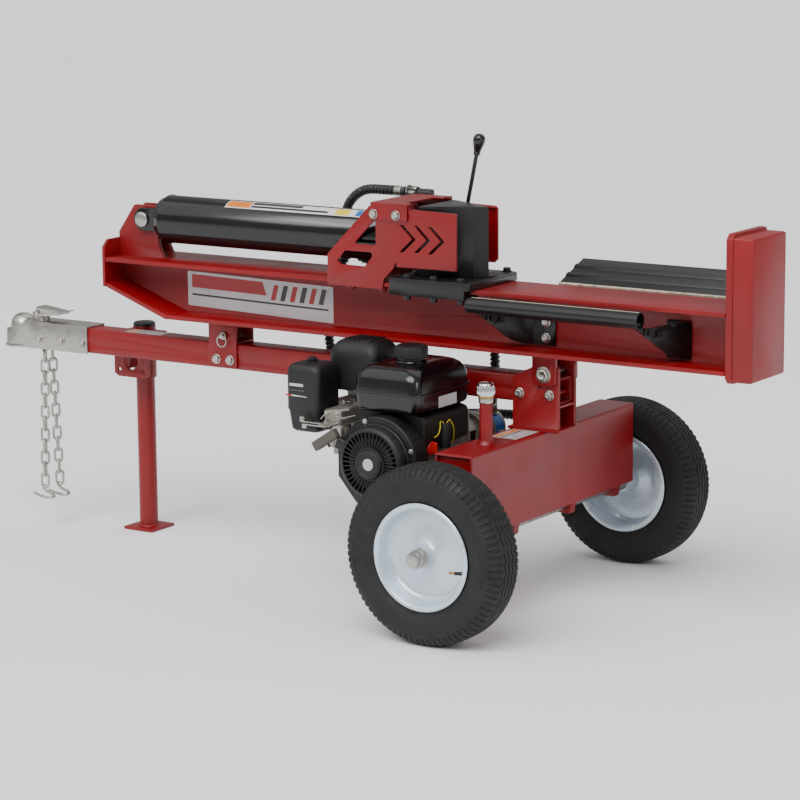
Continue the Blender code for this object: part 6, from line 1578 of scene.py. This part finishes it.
def make_valve(looks):
    """The control valve and its fittings."""
    dressed("control_valve", looks["iron"], 0.0010)
    y = 0.130
    nuts = [
        hexagon("nut", (-0.375, y, 0.8680), (0, 0, 1), 0.0138, 0.0215),
        hexagon("nut", (-0.330, y, 0.8680), (0, 0, 1), 0.0104, 0.0178),
        hexagon("nut", (-0.4330, y, 0.926), (1, 0, 0), 0.0138, 0.0265),
        hexagon("nut", (-0.415, 0.1500, 0.838), (0, 1, 0), 0.0128, 0.0195),
        hexagon("nut", (-0.4690, y, 0.838), (-1, 0, 0), 0.0118, 0.0108),
    ]
    place(united(*nuts), "valve_fittings", looks["zinc"], "beam_assembly")
    base = -1.035, 0.0718, 0.834
    nut = hexagon("nut", base, (0, 1, 0), 0.0118, 0.0118)
    place(nut, "butt_tube_nut", looks["zinc"], "beam_assembly")
    x, y0, z = base
    first = [
        (x, y0, z), (x, y0 + 0.012, z), (x + 0.006, y0 + 0.022, z), (x + 0.022, y0 + 0.027, z),
        (x + 0.05, y0 + 0.028, z),
    ]
    second = [
        (-0.560, y0 + 0.028, z), (-0.530, y0 + 0.028, z + 0.004), (-0.512, 0.112, 0.843),
        (-0.500, 0.124, 0.8395), (-0.4865, y, 0.838),
    ]
    pipe = tube(
        "pipe", routed(first, 0.003) + routed(second, 0.003) + [Vector((-0.4805, y, 0.838))], 0.0065, 24,
    )
    place(pipe, "butt_oil_pipe", looks["black"], "beam_assembly", "butt_oil_tube")


def make_lever(looks):
    """The valve's lever and knob."""
    x, z, y = -0.281, 0.838, 0.130
    lean = 0.211
    along = Vector((math.sin(lean), 0, math.cos(lean)))
    tall = 1.0525 - 0.024 - z
    top = Vector((x + tall * math.tan(lean), y, z + tall))
    eye = lathe(
        "eye",
        [
            (0.0, -0.006), (0.0084, -0.006), (0.0090, -0.0053), (0.0090, 0.0053), (0.0084, 0.006),
            (0.0, 0.006),
        ],
        (x, y, z), "Y", 40,
    )
    pin = lathe(
        "pin",
        [
            (0.0, -0.0122), (0.0032, -0.0122), (0.0035, -0.0117), (0.0035, 0.0117), (0.0032, 0.0122),
            (0.0, 0.0122),
        ],
        (x, y, z), "Y", 24,
    )
    stem = bar("stem", Vector((x, y, z)) + along * 0.004, top, 0.0050, 32)
    knob = lathe(
        "knob",
        [
            (0.0, 0.0), (0.0078, 0.0), (0.0085, 0.0008), (0.0082, 0.0060), (0.0090, 0.0110),
            (0.0112, 0.0190), (0.0135, 0.0270), (0.0147, 0.0335), (0.0145, 0.0395), (0.0125, 0.0455),
            (0.0085, 0.0498), (0.0040, 0.0513), (0.0, 0.0515),
        ],
        top - along * 0.004, along, 56,
    )
    pieces = [
        painted(eye, looks["zinc"]), painted(pin, looks["zinc"]), painted(stem, looks["black"]),
        painted(knob, looks["gloss"]),
    ]
    place(united(*pieces), "valve_lever_bar", None, "lever", "valve_lever")


def hose_shape(name, route, radius, pitch, looks):
    """A hose with a spiral guard: the guard's flat strip winds round it with a gap between its turns."""
    points = [Vector(route[0])] + routed(route[1:-1], 0.0016) + [Vector(route[-1])]

    def wound(gone, angle):
        phase = (gone / pitch + angle / (2 * math.pi)) % 1
        rise = max(0.0, min(1.0, (0.36 - abs(phase - 0.5)) / 0.07))
        return radius - 0.0024 + 0.0032 * rise

    return painted(tube(name, points, wound, 20), looks["guard"]), points


def ferrule(at, direction, body, name, looks, radius=0.0128):
    """A hose's crimped end sleeve with its swivel nut."""
    outline = [
        (0.0, 0.0), (radius - 0.0022, 0.0), (radius - 0.0012, 0.0006), (radius - 0.0012, 0.0110),
        (radius - 0.0002, 0.0120),
    ]
    for k in range(3):
        outline += [
            (radius, 0.0130 + 0.0060 * k), (radius, 0.0165 + 0.0060 * k),
            (radius - 0.0006, 0.0172 + 0.0060 * k), (radius - 0.0006, 0.0184 + 0.0060 * k),
        ]
    outline += [(radius - 0.0012, 0.0310), (0.0, 0.0310)]
    place(lathe(name, outline, at, direction, 40), name, looks["zinc"], body)


def make_hoses(sizes, looks):
    """The pressure, return and suction hoses with their end sleeves."""
    ox, oy, oz = -0.195, 0.125, 0.432
    valve_y = 0.130
    loop = [
        (
            -0.535 + 0.090 * math.cos(math.radians(a)), valve_y + 0.004,
            0.836 + 0.090 * math.sin(math.radians(a)),
        ) for a in (-75, -120, -165, -210, -250)
    ]
    pressure = [
        (ox, oy, oz + 0.0003), (ox, oy, oz + 0.015), (ox + 0.005, oy + 0.003, 0.54),
        (ox - 0.018, oy + 0.016, 0.630), (ox - 0.095, oy + 0.028, 0.692), (-0.400, 0.148, 0.728),
    ]
    pressure += loop + [(-0.490, valve_y, 0.926), (-0.4523, valve_y, 0.926), (-0.4403, valve_y, 0.926)]
    rx, ry, rz = -0.4553, 0.189, 0.838
    drain = [
        (rx, ry, rz), (rx - 0.012, ry, rz), (-0.560, 0.182, 0.826), (-0.632, 0.158, 0.758),
        (-0.668, 0.137, 0.660), (-0.673, 0.130, 0.560), (-0.650, 0.132, 0.470), (-0.585, 0.140, 0.405),
        (-0.490, 0.155, 0.376), (-0.390, 0.176, 0.374), (-0.290, 0.196, 0.384), (-0.197, 0.206, 0.389),
        (-0.120, 0.213, 0.387), (-0.076, 0.215, 0.385), (-0.0643, 0.215, 0.385),
    ]
    a, b = Vector((-0.150, 0.115, 0.355)), Vector((-0.064, 0.165, 0.290))
    x = Vector((1, 0, 0))
    bend = Vector((0.004, 0, 0.006))
    suction = [
        a + 0.0003 * x, a + 0.010 * x, a.lerp(b, 0.35) + bend, a.lerp(b, 0.65) - bend, b - 0.010 * x,
        b - 0.0003 * x,
    ]
    for name, route, radius in (("pressure_hose", pressure, 0.0115), ("return_hose", drain, 0.0115)):
        obj, points = hose_shape(name + "_guarded", route, radius, sizes.guard_pitch, looks)
        if name == "return_hose":
            points = list(reversed(points))
        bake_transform(obj)
        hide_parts(name)
    obj, points = hose_shape("suction_hose_guarded", suction, 0.0125, 0.0095, looks)
    place(obj, "suction_hose_guarded", None, "chassis", "suction_hose")
    ferrule(Vector(pressure[0]), (0, 0, 1), "chassis", "pressure_sleeve_pump", looks)
    ferrule(Vector(pressure[-1]), (-1, 0, 0), "beam_assembly", "pressure_sleeve_valve", looks)
    ferrule(Vector(drain[0]), (-1, 0, 0), "beam_assembly", "return_sleeve_valve", looks)
    ferrule(Vector(drain[-1]), (-1, 0, 0), "chassis", "return_sleeve_tank", looks)


# ---------------------------------------------------------------- floor, light and camera
EYE_PLACE = (3.9981, -5.9000, 1.7922)
EYE_HEADING, EYE_DIP, EYE_ROLL = 33.31, 10.838, -0.4806  # degrees
LENS_MM, SENSOR_MM = 134.99, 36
FLOOR_HALF = 30
WORLD_STRENGTH = 0.46


def make_stage():
    """The floor, the world, the lamps and the camera."""
    bm = bmesh.new()
    bmesh.ops.create_grid(bm, x_segments=1, y_segments=1, size=FLOOR_HALF)
    mesh = bpy.data.meshes.new("floor")
    bm.to_mesh(mesh)
    bm.free()
    floor = bpy.data.objects.new("floor", mesh)
    floor.data.materials.append(
        finish(
            "pale_studio_floor_painted", "FAFAFA", 0.70, grain=0.004, bump=0.01, blotch=1.5, spread=0.04,
            tone=0.01,
        ),
    )
    bpy.context.collection.objects.link(floor)
    world = bpy.data.worlds.new("studio")
    world.use_nodes = True
    world.node_tree.nodes["Background"].inputs[0].default_value = (1.0, 1.0, 1.0, 1.0)
    world.node_tree.nodes["Background"].inputs[1].default_value = WORLD_STRENGTH
    bpy.context.scene.world = world
    for name, towards, angle, power in (
        ("key", (-0.35, 1.0, -1.35), 40, 2.3), ("fill", (0.9, 0.8, -1.3), 60, 0.8),
        ("back", (-0.2, -1.0, -1.6), 60, 0.6),
    ):
        lamp = bpy.data.lights.new(name, "SUN")
        lamp.angle = math.radians(angle)
        lamp.energy = power
        obj = bpy.data.objects.new(name, lamp)
        obj.rotation_euler = Vector(towards).to_track_quat("-Z", "Y").to_euler()
        bpy.context.collection.objects.link(obj)
    aim = Vector((0.0, 0.0, 0.5))
    for name, where, size, power in (
        ("softbox", (-0.5, -4.5, 4.2), 2.2, 60), ("strip", (4.5, -1.5, 2.4), 1.4, 26),
    ):
        lamp = bpy.data.lights.new(name, "AREA")
        lamp.shape = "DISK"
        lamp.size = size
        lamp.energy = power
        obj = bpy.data.objects.new(name, lamp)
        obj.location = where
        obj.rotation_euler = (aim - Vector(where)).to_track_quat("-Z", "Y").to_euler()
        bpy.context.collection.objects.link(obj)
    camera = bpy.data.cameras.new("camera")
    camera.lens = LENS_MM
    camera.sensor_width = SENSOR_MM
    eye = bpy.data.objects.new("camera", camera)
    turn = Matrix.Rotation(math.radians(EYE_HEADING), 4, "Z") @ Matrix.Rotation(
        math.radians(90 - EYE_DIP), 4, "X",
    ) @ Matrix.Rotation(math.radians(EYE_ROLL), 4, "Z")
    eye.matrix_world = Matrix.Translation(EYE_PLACE) @ turn
    bpy.context.collection.objects.link(eye)
    bpy.context.scene.camera = eye


# ---------------------------------------------------------------- operators
class SPLITTER_OT_wheels(bpy.types.Operator):
    """Both tyres, rims, dust caps and valve stems"""

    bl_idname = "splitter.wheels"
    bl_label = "Wheels"

    def execute(self, context):
        sizes, looks = context_of(context)
        make_wheel(-1, "near", sizes, looks)
        make_wheel(1, "far", sizes, looks)
        return {"FINISHED"}


class SPLITTER_OT_tank(bpy.types.Operator):
    """The oil tank, its label, filler neck and breather, and the axle"""

    bl_idname = "splitter.tank"
    bl_label = "Tank and axle"

    def execute(self, context):
        make_axle_parts(looks_of(context))
        return {"FINISHED"}


class SPLITTER_OT_tongue(bpy.types.Operator):
    """The tongue, upright and brackets with their bolts"""

    bl_idname = "splitter.tongue"
    bl_label = "Tongue and upright"

    def execute(self, context):
        make_tongue_parts(looks_of(context))
        return {"FINISHED"}


class SPLITTER_OT_stand(bpy.types.Operator):
    """The drop stand's leg, cap and sleeve"""

    bl_idname = "splitter.stand"
    bl_label = "Stand"

    def execute(self, context):
        make_stand(looks_of(context))
        return {"FINISHED"}


class SPLITTER_OT_coupler(bpy.types.Operator):
    """The ball coupler with its latch and the two safety chains"""

    bl_idname = "splitter.coupler"
    bl_label = "Coupler and chains"

    def execute(self, context):
        make_coupler(looks_of(context))
        return {"FINISHED"}


class SPLITTER_OT_beam(bpy.types.Operator):
    """The beam, its foot plate and the panel on its web"""

    bl_idname = "splitter.beam"
    bl_label = "Beam"

    def execute(self, context):
        make_beam_parts(*context_of(context))
        return {"FINISHED"}


class SPLITTER_OT_guards(bpy.types.Operator):
    """The two side guards and the bridge over them"""

    bl_idname = "splitter.guards"
    bl_label = "Guards"

    def execute(self, context):
        make_guards(looks_of(context))
        return {"FINISHED"}


class SPLITTER_OT_cylinder(bpy.types.Operator):
    """The hydraulic cylinder with its rod, pin and bands"""

    bl_idname = "splitter.cylinder"
    bl_label = "Cylinder"

    def execute(self, context):
        make_cylinder(looks_of(context))
        return {"FINISHED"}


class SPLITTER_OT_wedge(bpy.types.Operator):
    """The wedge on its slide plate"""

    bl_idname = "splitter.wedge"
    bl_label = "Wedge and slide"

    def execute(self, context):
        make_wedge(looks_of(context))
        return {"FINISHED"}


class SPLITTER_OT_cradle(bpy.types.Operator):
    """The near log bar with its brackets, and the far log table"""

    bl_idname = "splitter.cradle"
    bl_label = "Log bar and table"

    def execute(self, context):
        make_cradle(looks_of(context))
        return {"FINISHED"}


class SPLITTER_OT_engine(bpy.types.Operator):
    """The engine: crankcase, covers, recoil starter, tank and controls"""

    bl_idname = "splitter.engine"
    bl_label = "Engine"

    def execute(self, context):
        _, looks = context_of(context)
        make_blower(looks)
        make_recoil(looks)
        make_engine_covers(looks)
        make_engine_core(looks)
        return {"FINISHED"}


class SPLITTER_OT_hydraulics(bpy.types.Operator):
    """The pump, control valve, lever, pipe and hoses"""

    bl_idname = "splitter.hydraulics"
    bl_label = "Hydraulics"

    def execute(self, context):
        sizes, looks = context_of(context)
        make_pump(looks)
        make_valve(looks)
        make_lever(looks)
        make_hoses(sizes, looks)
        return {"FINISHED"}


class SPLITTER_OT_stage(bpy.types.Operator):
    """The floor, the soft lights and the camera"""

    bl_idname = "splitter.stage"
    bl_label = "Stage"

    def execute(self, context):
        make_stage()
        return {"FINISHED"}


OPERATORS = (
    SPLITTER_OT_wheels, SPLITTER_OT_tank, SPLITTER_OT_tongue, SPLITTER_OT_stand, SPLITTER_OT_coupler,
    SPLITTER_OT_beam, SPLITTER_OT_guards,
    SPLITTER_OT_cylinder, SPLITTER_OT_wedge, SPLITTER_OT_cradle, SPLITTER_OT_engine, SPLITTER_OT_hydraulics,
    SPLITTER_OT_stage,
)


class SPLITTER_PT_panel(bpy.types.Panel):
    """The sizes, the colours and a button for each group of pieces"""

    bl_idname = "SPLITTER_PT_panel"
    bl_label = "Log splitter"
    bl_space_type = "VIEW_3D"
    bl_region_type = "UI"
    bl_category = "Log splitter"

    def draw(self, context):
        for settings in (context.scene.splitter_sizes, context.scene.splitter_colours):
            for key in settings.__annotations__:
                self.layout.prop(settings, key)
        for operator in OPERATORS:
            self.layout.operator(operator.bl_idname)


CLASSES = (SplitterSizes, SplitterColours, *OPERATORS, SPLITTER_PT_panel)


def register():
    for made in CLASSES:
        bpy.utils.register_class(made)
    bpy.types.Scene.splitter_sizes = bpy.props.PointerProperty(type=SplitterSizes)
    bpy.types.Scene.splitter_colours = bpy.props.PointerProperty(type=SplitterColours)


def unregister():
    del bpy.types.Scene.splitter_colours
    del bpy.types.Scene.splitter_sizes
    for made in reversed(CLASSES):
        bpy.utils.unregister_class(made)


def main():
    register()
    for operator in OPERATORS:
        group, name = operator.bl_idname.split(".")
        getattr(getattr(bpy.ops, group), name)()


if __name__ == "__main__":
    main()
